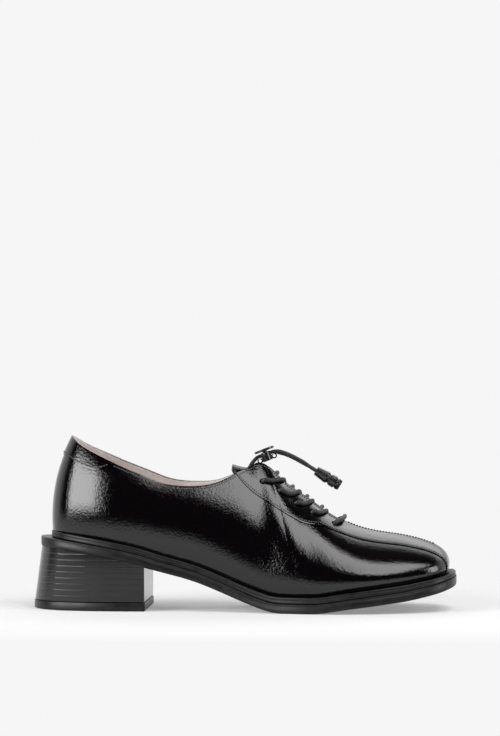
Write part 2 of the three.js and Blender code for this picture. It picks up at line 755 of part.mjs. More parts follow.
function block(long, wide, low, high) {
  return toSolid(new THREE.BoxGeometry(long, wide, high - low).translate(0, 0, (low + high) / 2));
}

function lug(end, diameter, thickness) {
  const geometry = new THREE.CylinderGeometry(diameter / 2, diameter / 2, thickness, 12);
  const along = end * (lockLength / 2 + 0.39 * lugDiameter);
  return toSolid(geometry.translate(along, 0, 0.45 * lugDiameter));
}

function lockBarrel() {
  const inside = [lockLength - 2 * lockWall, lockWidth - 2 * lockWall];
  const cordHole = block(3 * lockLength, holeWidth, cordLevel - holeHeight / 2, cordLevel + holeHeight / 2);
  return toGeometry(
    disc(lockLength, lockWidth, 0, lockHeight)
      .add(lug(-1, lugDiameter, lugThickness))
      .add(lug(1, lugDiameter, lugThickness))
      .subtract(lug(-1, lugHole, 2 * lugThickness))
      .subtract(lug(1, lugHole, 2 * lugThickness))
      .subtract(disc(...inside, lockFloor, lockHeight + 1))
      .subtract(cordHole),
  );
}

function lockButton() {
  const stem = [lockLength, lockWidth].map((size) => size - 2 * lockWall - 2 * clearance);
  const slotLow = cordLevel - holeHeight / 2;
  const slotHigh = cordLevel + holeHeight / 2 + buttonTravel;
  const stemLow = lockFloor + clearance + buttonTravel;
  const headLow = lockHeight + buttonGap;
  return toGeometry(
    disc(...stem, stemLow, headLow + 0.1)
      .subtract(block(2 * lockLength, holeWidth, slotLow, slotHigh))
      .add(disc(buttonDiameter, buttonDiameter, headLow, headLow + buttonThickness)),
  );
}

function tiltLock(mesh) {
  mesh.position.copy(lockPlace);
  mesh.rotation.y = THREE.MathUtils.degToRad(-lockTilt);
  return mesh;
}

// The cord end, drawn along +Z from its mouth and then turned onto the ends of the cords.
const endMouth = new THREE.Vector3(throatX + endAhead, 0, throatTop - endDrop);
const mouthDepth = 2.4;

function cordEnd() {
  const mouth = endMouthDiameter / 2;
  const full = endDiameter / 2;
  const recess = laceDiameter + clearance + 0.1;
  const outline = [
    [0, mouthDepth], [recess, mouthDepth], [recess, 0], [mouth, 0], [full, 0.44 * endLength],
    [full - 0.3, 0.5 * endLength], [full - 0.9, 0.55 * endLength], [full - 0.1, 0.6 * endLength],
    [full, 0.78 * endLength], [full - 0.9, 0.83 * endLength], [full - 0.4, 0.87 * endLength],
    [full - 0.8, endLength], [1.1, endLength], [1.1, endLength - 2], [0, endLength - 2],
  ];
  const points = outline.map(([radius, along]) => new THREE.Vector2(radius, along));
  return facingOut(new THREE.LatheGeometry(points, 16).rotateX(Math.PI / 2));
}

function placeEnd(mesh) {
  mesh.position.copy(endMouth);
  mesh.rotation.y = THREE.MathUtils.degToRad(endTurn);
  return mesh;
}

// Both cords rise from the tongue between the facings, run through the lock side by side and hang
// forward to the cord end. ahead is a share of the way from lock to end, and above a share of the
// lock's height over the end.
const hang = table(['ahead', 'above'], [
  [0.146, 0.958], [0.215, 0.903], [0.352, 0.726], [0.488, 0.452], [0.613, 0.137], [0.742, -0.210],
]);

// The cords' feet on the tongue, in millimetres from the throat's top and above the tongue.
const foot = table(['ahead', 'above', 'half'], [
  [-8.6, 0.90, 3.6], [-8.1, 2.20, 3.5], [-6.4, 5.20, 2.8],
]);

function cordRoute(side) {
  const tilt = THREE.MathUtils.degToRad(lockTilt);
  const throughLock = (along) => [
    lockPlace.x + along * Math.cos(tilt) - cordLevel * Math.sin(tilt),
    lockPlace.z + along * Math.sin(tilt) + cordLevel * Math.cos(tilt),
  ];
  const axis = THREE.MathUtils.degToRad(endTurn);
  const intoEnd = (along) => [
    endMouth.x + along * Math.sin(axis),
    endMouth.z + along * Math.cos(axis),
  ];
  const tongueTop = tongueHeight(throatX + foot[0].ahead, foot[0].half);
  const span = endMouth.clone().sub(lockPlace);
  const route = [
    ...foot.map(({ ahead, above, half }) => [throatX + ahead, tongueTop + above, half]),
    [...throughLock(-0.85 * lockLength), cordSpread + 0.5],
    ...[-0.5, 0, 0.5].map((along) => [...throughLock(along * lockLength), cordSpread]),
    ...hang.map(({ ahead, above }) => [
      lockPlace.x + ahead * span.x, lockPlace.z - above * span.z, cordSpread,
    ]),
    ...[-3.2, mouthDepth - clearance].map((along) => [...intoEnd(along), cordSpread]),
  ];
  return route.map(([x, z, half]) => [x, side * half, z]);
}

function cord(side) {
  return facingOut(tube(cordRoute(side), laceDiameter, 22));
}

const patent = { color: 0x0b0b0c, roughness: 0.12, metalness: 0 };
const darkRubber = { color: 0x1a1a1b, roughness: 0.45, metalness: 0 };
const stackedHeel = { color: 0x101011, roughness: 0.35, metalness: 0 };
const elastic = { color: 0x17171a, roughness: 0.7, metalness: 0 };
const hardPlastic = { color: 0x0d0d0e, roughness: 0.25, metalness: 0 };
const liningLeather = { color: 0xb9a79a, roughness: 0.7, metalness: 0 };

const shoe = new THREE.Group();
const looseNodes = new Set();

function add(name, geometry, finish, loose = false) {
  const mesh = new THREE.Mesh(geometry, new THREE.MeshStandardMaterial(finish));
  mesh.name = name;
  if (loose) looseNodes.add(mesh);
  shoe.add(mesh);
  return mesh;
}

add('outsole', outsole(), darkRubber);
add('welt', welt(), darkRubber);
add('heel_block', heelBlock(), stackedHeel);
add('heel_tip', heelTip(), darkRubber);
add('insole', insole(), liningLeather);
add('upper', upper(), patent);
add('tongue', tongue(), patent);
for (let row = 0; row < eyelets.length - 1; row += 1) {
  add(`lace_cross_${row + 1}`, crossing(row), elastic);
}
add('lace_bar', bottomBar(), elastic);
tiltLock(add('cord_lock', lockBarrel(), hardPlastic));
tiltLock(add('cord_lock_button', lockButton(), hardPlastic));
add('cord_lateral', cord(-1), elastic, true);
add('cord_medial', cord(1), elastic, true);
placeEnd(add('cord_end', cordEnd(), hardPlastic, true));

// The origin is on the floor under the middle of the shoe, measured without the loose cords.
shoe.updateMatrixWorld(true);
const bounds = new THREE.Box3();
for (const mesh of shoe.children) {
  if (!looseNodes.has(mesh)) bounds.expandByObject(mesh, true);
}
const middle = bounds.getCenter(new THREE.Vector3());
shoe.position.set(-middle.x, -middle.y, -bounds.min.z);

export default shoe;
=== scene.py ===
"""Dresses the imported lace-up shoe: upper, stitches, lace, cord lock, welt, sole and studio."""
import math

import bmesh
import bpy
import numpy as np
from mathutils import Matrix, Vector


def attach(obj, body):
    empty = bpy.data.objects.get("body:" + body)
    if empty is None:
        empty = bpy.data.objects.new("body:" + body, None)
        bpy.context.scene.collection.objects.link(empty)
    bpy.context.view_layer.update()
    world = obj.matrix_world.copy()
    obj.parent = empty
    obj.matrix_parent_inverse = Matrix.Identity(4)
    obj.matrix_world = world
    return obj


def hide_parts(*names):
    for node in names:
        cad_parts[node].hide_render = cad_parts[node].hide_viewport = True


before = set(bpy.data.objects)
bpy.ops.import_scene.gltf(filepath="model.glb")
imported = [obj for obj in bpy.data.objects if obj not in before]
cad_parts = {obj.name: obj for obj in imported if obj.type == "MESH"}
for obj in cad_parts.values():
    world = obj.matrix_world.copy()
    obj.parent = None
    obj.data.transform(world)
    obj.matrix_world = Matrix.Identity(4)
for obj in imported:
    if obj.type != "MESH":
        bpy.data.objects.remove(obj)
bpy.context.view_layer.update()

bl_info = {
    "name": "Lace-up shoe",
    "version": (1, 0, 0),
    "blender": (4, 5, 0),
    "location": "View3D > Sidebar > Shoe",
    "description": "Builds the pieces of a patent lace-up shoe round its packed solids",
    "category": "Object",
}

SHOE = "shoe"
BUTTON = "lock_button"
MM = 0.001

# The last is drawn in millimetres from the back lip of the outsole, on the middle line.
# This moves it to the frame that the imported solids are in.
TO_FRAME = np.array([-129.6524, 1.15, 0.0])

SOLE_LENGTH = 264.0
BALL_WIDTH = 80.0
INSTEP_HEIGHT = 80.2
HEEL_HEIGHT = 39.8
TOE_SPRING = 16.4
OUTSOLE_THICKNESS = 5.9
WELT_THICKNESS = 3.7
CLEARANCE = 0.3
UPPER_WALL = 2.0
OVERLAY_STEP = 0.5
OVERLAY_WALL = OVERLAY_STEP + 0.4
MEDIAL_LIFT = 1.3
HEEL_LENGTH = 68.8
HEEL_FLARE = 4.6
HEEL_TAPER = 0.035
HEEL_INSET = 0.5
TIP_THICKNESS = 5.3
THROAT_GAP = 11.0
THROAT_LENGTH = 51.0
EYELET_INSETS = (10.4, 11.0, 11.1, 10.8, 7.8)
EYELET_DIAMETER = 4.4
EYELET_PITCH = 10.3
FIRST_EYELET = 1.0
LAST_EYELET_EXTRA = 3.6
TONGUE_REACH = 19.0
TONGUE_HALF_WIDTH = 19.0
TONGUE_THICKNESS = 2.0
FOOT_LINE = OUTSOLE_THICKNESS + CLEARANCE + WELT_THICKNESS


def table(columns, rows):
    """Rows of numbers as one array for each named column."""
    return {name: np.array([row[at] for row in rows], float) for at, name in enumerate(columns)}


# The underside of the sole from the side: shares of its length, of the heel height and of the
# toe spring.
SOLE_LINE = table(["x", "heel", "toe"], [
    [0.000, 1.000, 0], [0.045, 0.972, 0], [0.089, 0.935, 0], [0.177, 0.838, 0],
    [0.248, 0.732, 0], [0.300, 0.622, 0], [0.339, 0.553, 0], [0.377, 0.478, 0],
    [0.416, 0.382, 0], [0.454, 0.277, 0], [0.492, 0.173, 0], [0.530, 0.078, 0],
    [0.560, 0.020, 0], [0.585, 0, 0], [0.650, 0, 0], [0.680, 0, 0.030], [0.705, 0, 0.090],
    [0.742, 0, 0.180], [0.782, 0, 0.265], [0.830, 0, 0.370], [0.878, 0, 0.480],
    [0.917, 0, 0.600], [0.955, 0, 0.745], [0.985, 0, 0.900], [1.000, 0, 1.000],
])

# The last's sections from the back of the heel to the middle of the toe. x and widths are shares
# of the sole's length and the ball width; outsole and welt are margins in millimetres.
STATIONS = table([
    "foot_x", "lateral", "medial", "top_x", "top_y", "rise", "swell", "lift", "reach", "slope",
    "drop", "outsole", "welt",
], [
    [0.0295, 0, 0, 0.0769, 0, 0.766, 0.019, 0.36, 0.125, 0, 1.90, 7.3, 0.6],
    [0.0409, 0.150, 0.150, 0.0845, 0.113, 0.748, 0.025, 0.36, 0.125, 0, 1.90, 7.0, 1.0],
    [0.0720, 0.256, 0.256, 0.1061, 0.200, 0.703, 0.037, 0.35, 0.113, 0, 2.00, 6.0, 2.2],
    [0.1212, 0.319, 0.319, 0.1439, 0.263, 0.657, 0.050, 0.34, 0.100, 0, 2.00, 4.8, 3.3],
    [0.1818, 0.348, 0.345, 0.1932, 0.302, 0.613, 0.056, 0.33, 0.087, 0, 2.00, 4.3, 3.6],
    [0.2462, 0.352, 0.340, 0.2500, 0.325, 0.580, 0.056, 0.32, 0.075, 0, 2.30, 4.0, 3.5],
    [0.3144, 0.350, 0.312, 0.3144, 0.333, 0.570, 0.062, 0.32, 0.075, 0.05, 2.30, 3.9, 3.4],
    [0.3826, 0.352, 0.285, 0.3750, 0.325, 0.613, 0.069, 0.32, 0.087, 0.15, 2.20, 3.9, 3.4],
    [0.4508, 0.370, 0.280, 0.4299, 0.292, 0.708, 0.075, 0.32, 0.113, 0.35, 1.80, 4.0, 3.5],
    [0.5152, 0.405, 0.307, 0.4830, 0.206, 0.862, 0.087, 0.32, 0.150, 0.60, 1.20, 4.2, 3.7],
    [0.5720, 0.447, 0.355, 0.5165, 0.094, 0.963, 0.100, 0.32, 0.200, 0.80, 0.70, 4.5, 4.0],
    [0.6231, 0.485, 0.405, 0.5341, 0, 1.030, 0.106, 0.32, 0.237, 0.92, 0.42, 4.7, 4.2],
    [0.6742, 0.510, 0.450, 0.5780, 0, 0.920, 0.106, 0.32, 0.263, 0.80, 0.38, 4.9, 4.4],
    [0.7273, 0.520, 0.480, 0.6500, 0, 0.742, 0.106, 0.32, 0.300, 0.62, 0.34, 5.0, 4.5],
    [0.7803, 0.512, 0.490, 0.7270, 0, 0.541, 0.106, 0.33, 0.338, 0.40, 0.28, 5.1, 4.6],
    [0.8295, 0.485, 0.480, 0.7992, 0, 0.428, 0.100, 0.34, 0.338, 0.18, 0.24, 5.2, 4.7],
    [0.8750, 0.443, 0.450, 0.8561, 0, 0.374, 0.087, 0.36, 0.300, 0.13, 0.22, 5.3, 4.8],
    [0.9129, 0.390, 0.410, 0.8939, 0, 0.330, 0.075, 0.38, 0.250, 0.20, 0.20, 5.4, 4.9],
    [0.9460, 0.318, 0.343, 0.9205, 0, 0.288, 0.062, 0.40, 0.188, 0.30, 0.15, 5.5, 5.0],
    [0.9680, 0.218, 0.240, 0.9356, 0, 0.259, 0.044, 0.42, 0.138, 0.38, 0.08, 5.6, 5.1],
    [0.9748, 0.110, 0.122, 0.9417, 0, 0.248, 0.033, 0.42, 0.113, 0.42, 0.02, 5.6, 5.1],
    [0.9762, 0, 0, 0.9432, 0, 0.244, 0.030, 0.42, 0.106, 0.43, 0, 5.6, 5.1],
])
LAST = len(STATIONS["foot_x"]) - 1
THROAT = 11

# The seams and the tab's edge: x is a share of the sole's length, rise of the instep's height
# over the foot line, and half of the ball's width.
FACING_SEAM = table(["x", "rise"], [
    [0.468, 0.866], [0.476, 0.833], [0.504, 0.768], [0.534, 0.727], [0.574, 0.677],
    [0.606, 0.618], [0.644, 0.560],
])
TOE_SEAM = table(["x", "half"], [
    [0.674, 0.285], [0.735, 0.240], [0.800, 0.222], [0.890, 0.212], [0.945, 0.205],
    [0.990, 0.200],
])
TAB_EDGE = table(["x", "rise"], [
    [-0.03, 0.640], [0.060, 0.605], [0.085, 0.570], [0.112, 0.545], [0.140, 0.535],
    [0.166, 0.565], [0.190, 0.640],
])
# Half the gap between the facings, by the distance ahead of the throat's top, in millimetres.
SLOT_START = -14
SLOT_EDGE = table(["ahead", "half"], [
    [SLOT_START, 11.5], [-4.5, 7.7], [0, 6.4], [4, 5.5], [45, 4.4], [46.6, 4.4],
])


def spline(values, flat_ends):
    """A smooth curve through evenly spaced values."""
    count = len(values)
    system = np.diag(np.full(count, 4.0)) + np.eye(count, k=1) + np.eye(count, k=-1)
    right = np.zeros(count)
    right[1:-1] = 3 * (values[2:] - values[:-2])
    system[0, 0] = system[-1, -1] = 2.0
    right[0] = 3 * (values[1] - values[0])
    right[-1] = 3 * (values[-1] - values[-2])
    if flat_ends:
        system[0], system[-1] = 0, 0
        system[0, 0] = system[-1, -1] = 1.0
        right[0] = right[-1] = 0
    slopes = np.linalg.solve(system, right)

    def at(place):
        low = np.clip(np.floor(place).astype(int), 0, count - 2)
        u = place - low
        w = 1 - u
        ends = values[low] * w * w * (1 + 2 * u) + values[low + 1] * u * u * (3 - 2 * u)
        return ends + slopes[low] * u * w * w - slopes[low + 1] * u * u * w

    return at


def profile(xs, ys):
    """A curve through points at uneven x that never overshoots them."""
    chords = np.diff(ys) / np.diff(xs)
    slopes = np.zeros(len(ys))
    slopes[0], slopes[-1] = chords[0], chords[-1]
    before, after = chords[:-1], chords[1:]
    same = before * after > 0
    total = np.where(same, before + after, 1)
    slopes[1:-1] = np.where(same, 2 * before * after / total, 0)

    def at(x):
        inside = np.clip(x, xs[0], xs[-1])
        low = np.clip(np.searchsorted(xs, inside, side="left") - 1, 0, len(xs) - 2)
        step = xs[low + 1] - xs[low]
        u = (inside - xs[low]) / step
        w = 1 - u
        ends = ys[low] * w * w * (1 + 2 * u) + ys[low + 1] * u * u * (3 - 2 * u)
        return ends + step * (slopes[low] * u * w * w - slopes[low + 1] * u * u * w)

    return at


heel_share = profile(SOLE_LINE["x"], SOLE_LINE["heel"])
toe_share = profile(SOLE_LINE["x"], SOLE_LINE["toe"])
toe_seam = profile(TOE_SEAM["x"] * SOLE_LENGTH, TOE_SEAM["half"] * BALL_WIDTH)
tab_edge = profile(TAB_EDGE["x"] * SOLE_LENGTH, TAB_EDGE["rise"] * INSTEP_HEIGHT)
station = {
    name: spline(values, name not in ("lateral", "medial", "top_y"))
    for name, values in STATIONS.items() if name != "top_y"
}
station["top_y"] = spline(STATIONS["top_y"][:THROAT + 1], False)
THROAT_X = STATIONS["top_x"][THROAT] * SOLE_LENGTH
slot_edge = profile(THROAT_X + SLOT_EDGE["ahead"], SLOT_EDGE["half"])


def underside(x):
    return HEEL_HEIGHT * heel_share(x / SOLE_LENGTH) + TOE_SPRING * toe_share(x / SOLE_LENGTH)


def foot_line(x):
    return underside(x) + FOOT_LINE


def feather(place, side):
    """Points of the feather line in their half of the plan, and the way out of the shoe."""
    place, side = np.broadcast_arrays(np.asarray(place, float), side)

    def width(at):
        return np.where(side < 0, station["lateral"](at), station["medial"](at)) * BALL_WIDTH

    low = np.clip(place - 0.01, 0, LAST)
    high = np.clip(place + 0.01, 0, LAST)
    along_x = (station["foot_x"](high) - station["foot_x"](low)) * SOLE_LENGTH
    along_y = width(high) - width(low)
    long = np.hypot(along_x, along_y)
    out_x = np.where(place <= 0, -1.0, np.where(place >= LAST, 1.0, -along_y / long))
    out_y = np.where((place <= 0) | (place >= LAST), 0.0, along_x / long)
    return station["foot_x"](place) * SOLE_LENGTH, width(place), out_x, out_y


def section(place, side, up):
    """The upper's skin in its half of the plan; up is 0 at the feather line and 1 at the top."""
    place, side, up = np.broadcast_arrays(np.asarray(place, float), side, np.asarray(up, float))
    foot_x, foot_y, out_x, out_y = feather(place, side)
    foot_z = foot_line(foot_x) + CLEARANCE
    top_x = station["top_x"](place) * SOLE_LENGTH
    top_y = np.where(place >= THROAT, 0, station["top_y"](np.minimum(place, THROAT)) * BALL_WIDTH)
    raised = np.where(side > 0, MEDIAL_LIFT, 0)
    along = np.minimum(place / THROAT, 1)
    top_z = foot_line(top_x) + station["rise"](place) * INSTEP_HEIGHT
    top_z = top_z + raised * np.sin(math.pi * along) ** 2
    swell = station["swell"](place) * BALL_WIDTH
    side_x = foot_x + out_x * swell
    side_y = foot_y + out_y * swell
    side_z = foot_z + station["lift"](place) * (top_z - foot_z)
    across = np.hypot(side_x - top_x, side_y - top_y)
    to_x, to_y = (side_x - top_x) / across, (side_y - top_y) / across
    reach = station["reach"](place) * BALL_WIDTH
    fade = np.clip(LAST - place, 0, 1)
    fall = station["slope"](place) * np.maximum(to_x, 0) + station["drop"](place) * fade
    down = 1 - up
    shares = [down ** 3, 3 * up * down ** 2, 3 * up ** 2 * down, up ** 3]
    corners = [
        (foot_x, foot_y, foot_z), (side_x, side_y, side_z),
        (top_x + to_x * reach, top_y + to_y * reach, top_z - fall * reach), (top_x, top_y, top_z),
    ]
    return np.stack([
        sum(share * corner[axis] for share, corner in zip(shares, corners)) for axis in range(3)
    ], axis=-1)


def skin(place, side, up, outset=0.0):
    """Points of the upper's skin moved out by outset, and the way out, in the last's own axes.

    The one point at the toe end of the ridge has no way out, and comes out as nan.
    """
    place, side, up, outset = np.broadcast_arrays(
        np.asarray(place, float), side, np.asarray(up, float), np.asarray(outset, float))
    step = 0.002
    on_ridge = (up > 1 - 1e-9) & (place >= THROAT)
    behind = np.maximum(place - step, np.where(on_ridge, THROAT, 0))
    along = section(np.minimum(place + step, LAST), side, up) - section(behind, side, up)
    upward = section(place, side, np.minimum(up + step, 1)) - section(
        place, side, np.maximum(up - step, 0))
    normal = np.cross(upward, along)
    on_end = (place <= 0) | (place >= LAST)
    line = np.where(on_end[..., None], upward, along)
    turn = np.sign(normal[..., 0] * line[..., 2] - normal[..., 2] * line[..., 0])
    flat = np.stack([line[..., 2] * turn, np.zeros_like(turn), -line[..., 0] * turn], axis=-1)
    on_middle = on_end | on_ridge
    normal = np.where(on_middle[..., None], flat, normal)
    normal = normal / np.linalg.norm(normal, axis=-1, keepdims=True)
    points = section(place, side, up) + normal * outset[..., None]
    points[..., 1] = np.where(on_middle, 0, side * points[..., 1])
    normal = normal * np.stack([np.ones_like(outset), side, np.ones_like(outset)], axis=-1)
    return points, normal


def skin_over(x, y, outset=0.0):
    """The skin's points and ways out over points of the plan, found by Newton's steps."""
    x, y = np.broadcast_arrays(np.asarray(x, float), np.asarray(y, float))
    side = np.where(y > 0, 1, -1)
    place, up = np.full(x.shape, THROAT + 1.5), np.full(x.shape, 0.8)
    step = 0.001
    for _ in range(40):
        here = skin(place, side, up, outset)[0]
        ahead = skin(place + step, side, up, outset)[0]
        above = skin(place, side, up - step, outset)[0]
        a, b = (ahead[..., 0] - here[..., 0]) / step, (here[..., 0] - above[..., 0]) / step
        c, d = (ahead[..., 1] - here[..., 1]) / step, (here[..., 1] - above[..., 1]) / step
        det = a * d - b * c
        miss_x, miss_y = x - here[..., 0], y - here[..., 1]
        move = np.clip((miss_x * d - miss_y * b) / det, -0.5, 0.5)
        rise = np.clip((miss_y * a - miss_x * c) / det, -0.1, 0.1)
        place = np.clip(place + move, 0, LAST - 0.01)
        up = np.clip(up + rise, 0.05, 0.9995)
    return skin(place, side, up, outset)


def in_slot(points):
    """Whether points lie over the open slot between the facings."""
    ahead = points[..., 0] - THROAT_X
    round_end = SLOT_EDGE["half"][-1]
    past = np.clip((ahead - (THROAT_LENGTH - round_end)) / round_end, 0, 1)
    half = slot_edge(points[..., 0]) * np.sqrt(1 - past ** 2)
    return (np.abs(points[..., 1]) < half) & (ahead > SLOT_START) & (ahead < THROAT_LENGTH)


# Where the facing's seam runs into the toe's.
JOIN_X, JOIN_HALF = TOE_SEAM["x"][0] * SOLE_LENGTH, TOE_SEAM["half"][0] * BALL_WIDTH
facing_seam = profile(
    np.append(FACING_SEAM["x"] * SOLE_LENGTH, JOIN_X),
    np.append(
        foot_line(FACING_SEAM["x"] * SOLE_LENGTH) + FACING_SEAM["rise"] * INSTEP_HEIGHT,
        skin_over(JOIN_X, -JOIN_HALF)[0][2]))


def in_panel(points):
    """Whether points lie on the panel over the facings and the toe."""
    start = FACING_SEAM["x"][0] * SOLE_LENGTH - 2
    x = points[..., 0]
    beside = (x > start) & (x < JOIN_X) & (points[..., 2] > facing_seam(x))
    on_toe = (x >= JOIN_X) & (np.abs(points[..., 1]) < toe_seam(x))
    return beside | on_toe


def in_tab(points):
    """Whether points lie on the tab at the back of the collar."""
    x = points[..., 0]
    return (x < TAB_EDGE["x"][-1] * SOLE_LENGTH) & (points[..., 2] > foot_line(x) + tab_edge(x))


def border(places, side, inside, low=0.0, high=1.0):
    """The lowest share up each section where the skin is inside, or high where it never is."""
    ups = np.linspace(low, high, 200)
    hits = inside(section(places[:, None], side, ups[None, :]))
    first = np.where(hits.any(axis=1), hits.argmax(axis=1), len(ups) - 1)
    lower, upper = ups[np.maximum(first - 1, 0)], ups[first]
    found = hits.any(axis=1)
    for _ in range(18):
        middle = (lower + upper) / 2
        hit = inside(section(places, side, middle))
        upper = np.where(hit, middle, upper)
        lower = np.where(hit, lower, middle)
    return np.where(found, upper, high)


def top_border(places, side):
    """The upper's top edge: the top line, the edge of the slot, or the ridge in front of it."""
    return border(places, side, in_slot, 0.4)


def to_frame(points):
    return (points + TO_FRAME) * MM


# Mesh helpers


def select_only(*pieces):
    bpy.ops.object.select_all(action="DESELECT")
    for piece in pieces:
        piece.select_set(True)
    bpy.context.view_layer.objects.active = pieces[0]


def grid_piece(name, points):
    """A grid primitive whose corners are moved onto points, rows by columns by xyz in metres."""
    rows, columns = points.shape[:2]
    bpy.ops.object.select_all(action="DESELECT")
    bpy.ops.mesh.primitive_grid_add(
        x_subdivisions=columns - 1, y_subdivisions=rows - 1, size=1, location=(0, 0, 0))
    piece = bpy.context.object
    piece.name = piece.data.name = name
    piece.data.vertices.foreach_set("co", points.reshape(-1))
    piece.data.update()
    return piece


def edit_all(piece, *steps):
    """Runs operators, each with its settings, in edit mode on the whole of a piece."""
    select_only(piece)
    bpy.ops.object.mode_set(mode="EDIT")
    bpy.ops.mesh.select_all(action="SELECT")
    for operator, settings in steps:
        operator(**settings)
    bpy.ops.object.mode_set(mode="OBJECT")


def weld(piece, distance=0.00002):
    """Merges the corners that lie together."""
    edit_all(
        piece, (bpy.ops.mesh.remove_doubles, {"threshold": distance}),
        (bpy.ops.mesh.dissolve_degenerate, {"threshold": distance / 2}))


def flip(piece):
    edit_all(piece, (bpy.ops.mesh.flip_normals, {}))


def turn_outwards(piece):
    edit_all(piece, (bpy.ops.mesh.normals_make_consistent, {"inside": False}))


def face_out(piece, centre):
    """Turns a shell's faces away from a centre, if most of them look at it."""
    centre = Vector(centre)
    total = sum(
        face.area * face.normal.dot((face.center - centre).normalized())
        for face in piece.data.polygons)
    if total < 0:
        flip(piece)


def apply_modifier(piece, kind, **settings):
    """Adds a modifier with its settings and applies it."""
    select_only(piece)
    modifier = piece.modifiers.new(kind.title(), kind)
    for name, value in settings.items():
        setattr(modifier, name, value)
    bpy.ops.object.modifier_apply(modifier=modifier.name)


def finish(piece, body, materials, angle=40, replaced=()):
    """Shades a piece, gives it its materials, and hands it to its body."""
    select_only(piece)
    bpy.ops.object.transform_apply(location=True, rotation=True, scale=True)
    while len(piece.data.materials) < len(materials):
        piece.data.materials.append(None)
    for at, material in enumerate(materials):
        piece.data.materials[at] = material
    bpy.ops.object.shade_smooth_by_angle(angle=math.radians(angle))
    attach(piece, body)
    if replaced:
        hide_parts(*replaced)
    return piece


def joined(name, pieces):
    select_only(*pieces)
    if len(pieces) > 1:
        bpy.ops.object.join()
    piece = bpy.context.object
    piece.name = piece.data.name = name
    return piece


def resampled(points, gap):
    """Points at even steps of about gap along a line of points, and the directions there."""
    points = np.asarray(points, float)
    lengths = np.linalg.norm(np.diff(points, axis=0), axis=1)
    run = np.concatenate([[0], np.cumsum(lengths)])
    count = max(int(round(run[-1] / gap)), 1)
    at = (np.arange(count) + 0.5) * run[-1] / count
    places = np.stack([np.interp(at, run, points[:, axis]) for axis in range(3)], axis=-1)
    ahead = np.stack([np.interp(at + gap / 4, run, points[:, axis]) for axis in range(3)], axis=-1)
    back = np.stack([np.interp(at - gap / 4, run, points[:, axis]) for axis in range(3)], axis=-1)
    direction = ahead - back
    return places, direction / np.linalg.norm(direction, axis=1, keepdims=True)


def smooth_path(points, count):
    """A smooth line of count points through a few given ones."""
    points = np.asarray(points, float)
    gaps = np.sqrt(np.linalg.norm(np.diff(points, axis=0), axis=1))
    knots = np.concatenate([[0], np.cumsum(gaps)])
    before = 2 * points[0] - points[1]
    after = 2 * points[-1] - points[-2]
    padded = np.vstack([before, points, after])
    times = np.concatenate([[knots[0] - gaps[0]], knots, [knots[-1] + gaps[-1]]])
    result = []
    for t in np.linspace(knots[0], knots[-1], count):
        low = min(max(np.searchsorted(knots, t, side="right") - 1, 0), len(points) - 2)
        p = padded[low:low + 4]
        k = times[low:low + 4]
        a1 = (k[1] - t) / (k[1] - k[0]) * p[0] + (t - k[0]) / (k[1] - k[0]) * p[1]
        a2 = (k[2] - t) / (k[2] - k[1]) * p[1] + (t - k[1]) / (k[2] - k[1]) * p[2]
        a3 = (k[3] - t) / (k[3] - k[2]) * p[2] + (t - k[2]) / (k[3] - k[2]) * p[3]
        b1 = (k[2] - t) / (k[2] - k[0]) * a1 + (t - k[0]) / (k[2] - k[0]) * a2
        b2 = (k[3] - t) / (k[3] - k[1]) * a2 + (t - k[1]) / (k[3] - k[1]) * a3
        result.append((k[2] - t) / (k[2] - k[1]) * b1 + (t - k[1]) / (k[2] - k[1]) * b2)
    return np.array(result)


def cord_curve(name, points, diameter):
    """A round cord along points in metres, as a curve of one open spline."""
    data = bpy.data.curves.new(name, "CURVE")
    data.dimensions = "3D"
    data.bevel_depth = diameter / 2
    data.bevel_resolution = 4
    data.use_fill_caps = True
    line = data.splines.new("POLY")
    line.points.add(len(points) - 1)
    for point, place in zip(line.points, points):
        point.co = (*place, 1)
    piece = bpy.data.objects.new(name, data)
    bpy.context.collection.objects.link(piece)
    return piece


def as_mesh(piece):
    select_only(piece)
    bpy.ops.object.convert(target="MESH")
    return bpy.context.object


# Materials


def new_material(name):
    material = bpy.data.materials.new(name)
    material.use_nodes = True
    tree = material.node_tree
    return material, tree, tree.nodes["Principled BSDF"]


def noise(tree, scale, detail=2.0, roughness=0.5, stretch=None):
    """Noise in the object's own coordinates; stretch scales its axes."""
    texture = tree.nodes.new("ShaderNodeTexNoise")
    texture.inputs["Scale"].default_value = scale
    texture.inputs["Detail"].default_value = detail
    texture.inputs["Roughness"].default_value = roughness
    coordinates = tree.nodes.new("ShaderNodeTexCoord")
    if stretch:
        mapping = tree.nodes.new("ShaderNodeMapping")
        mapping.inputs["Scale"].default_value = stretch
        tree.links.new(coordinates.outputs["Object"], mapping.inputs["Vector"])
        tree.links.new(mapping.outputs["Vector"], texture.inputs["Vector"])
    else:
        tree.links.new(coordinates.outputs["Object"], texture.inputs["Vector"])
    return texture.outputs["Fac"]


def bump(tree, height, strength, distance, under=None):
    node = tree.nodes.new("ShaderNodeBump")
    node.inputs["Strength"].default_value = strength
    node.inputs["Distance"].default_value = distance
    tree.links.new(height, node.inputs["Height"])
    if under:
        tree.links.new(under, node.inputs["Normal"])
    return node.outputs["Normal"]


def ramp(tree, value, stops):
    """A colour or grey that follows value through stops of place and colour."""
    node = tree.nodes.new("ShaderNodeValToRGB")
    elements = node.color_ramp.elements
    while len(elements) < len(stops):
        elements.new(0.5)
    for element, (place, colour) in zip(elements, stops):
        element.position = place
        element.color = colour
    tree.links.new(value, node.inputs["Fac"])
    return node.outputs["Color"]


def grey(value):
    return (value, value, value, 1)


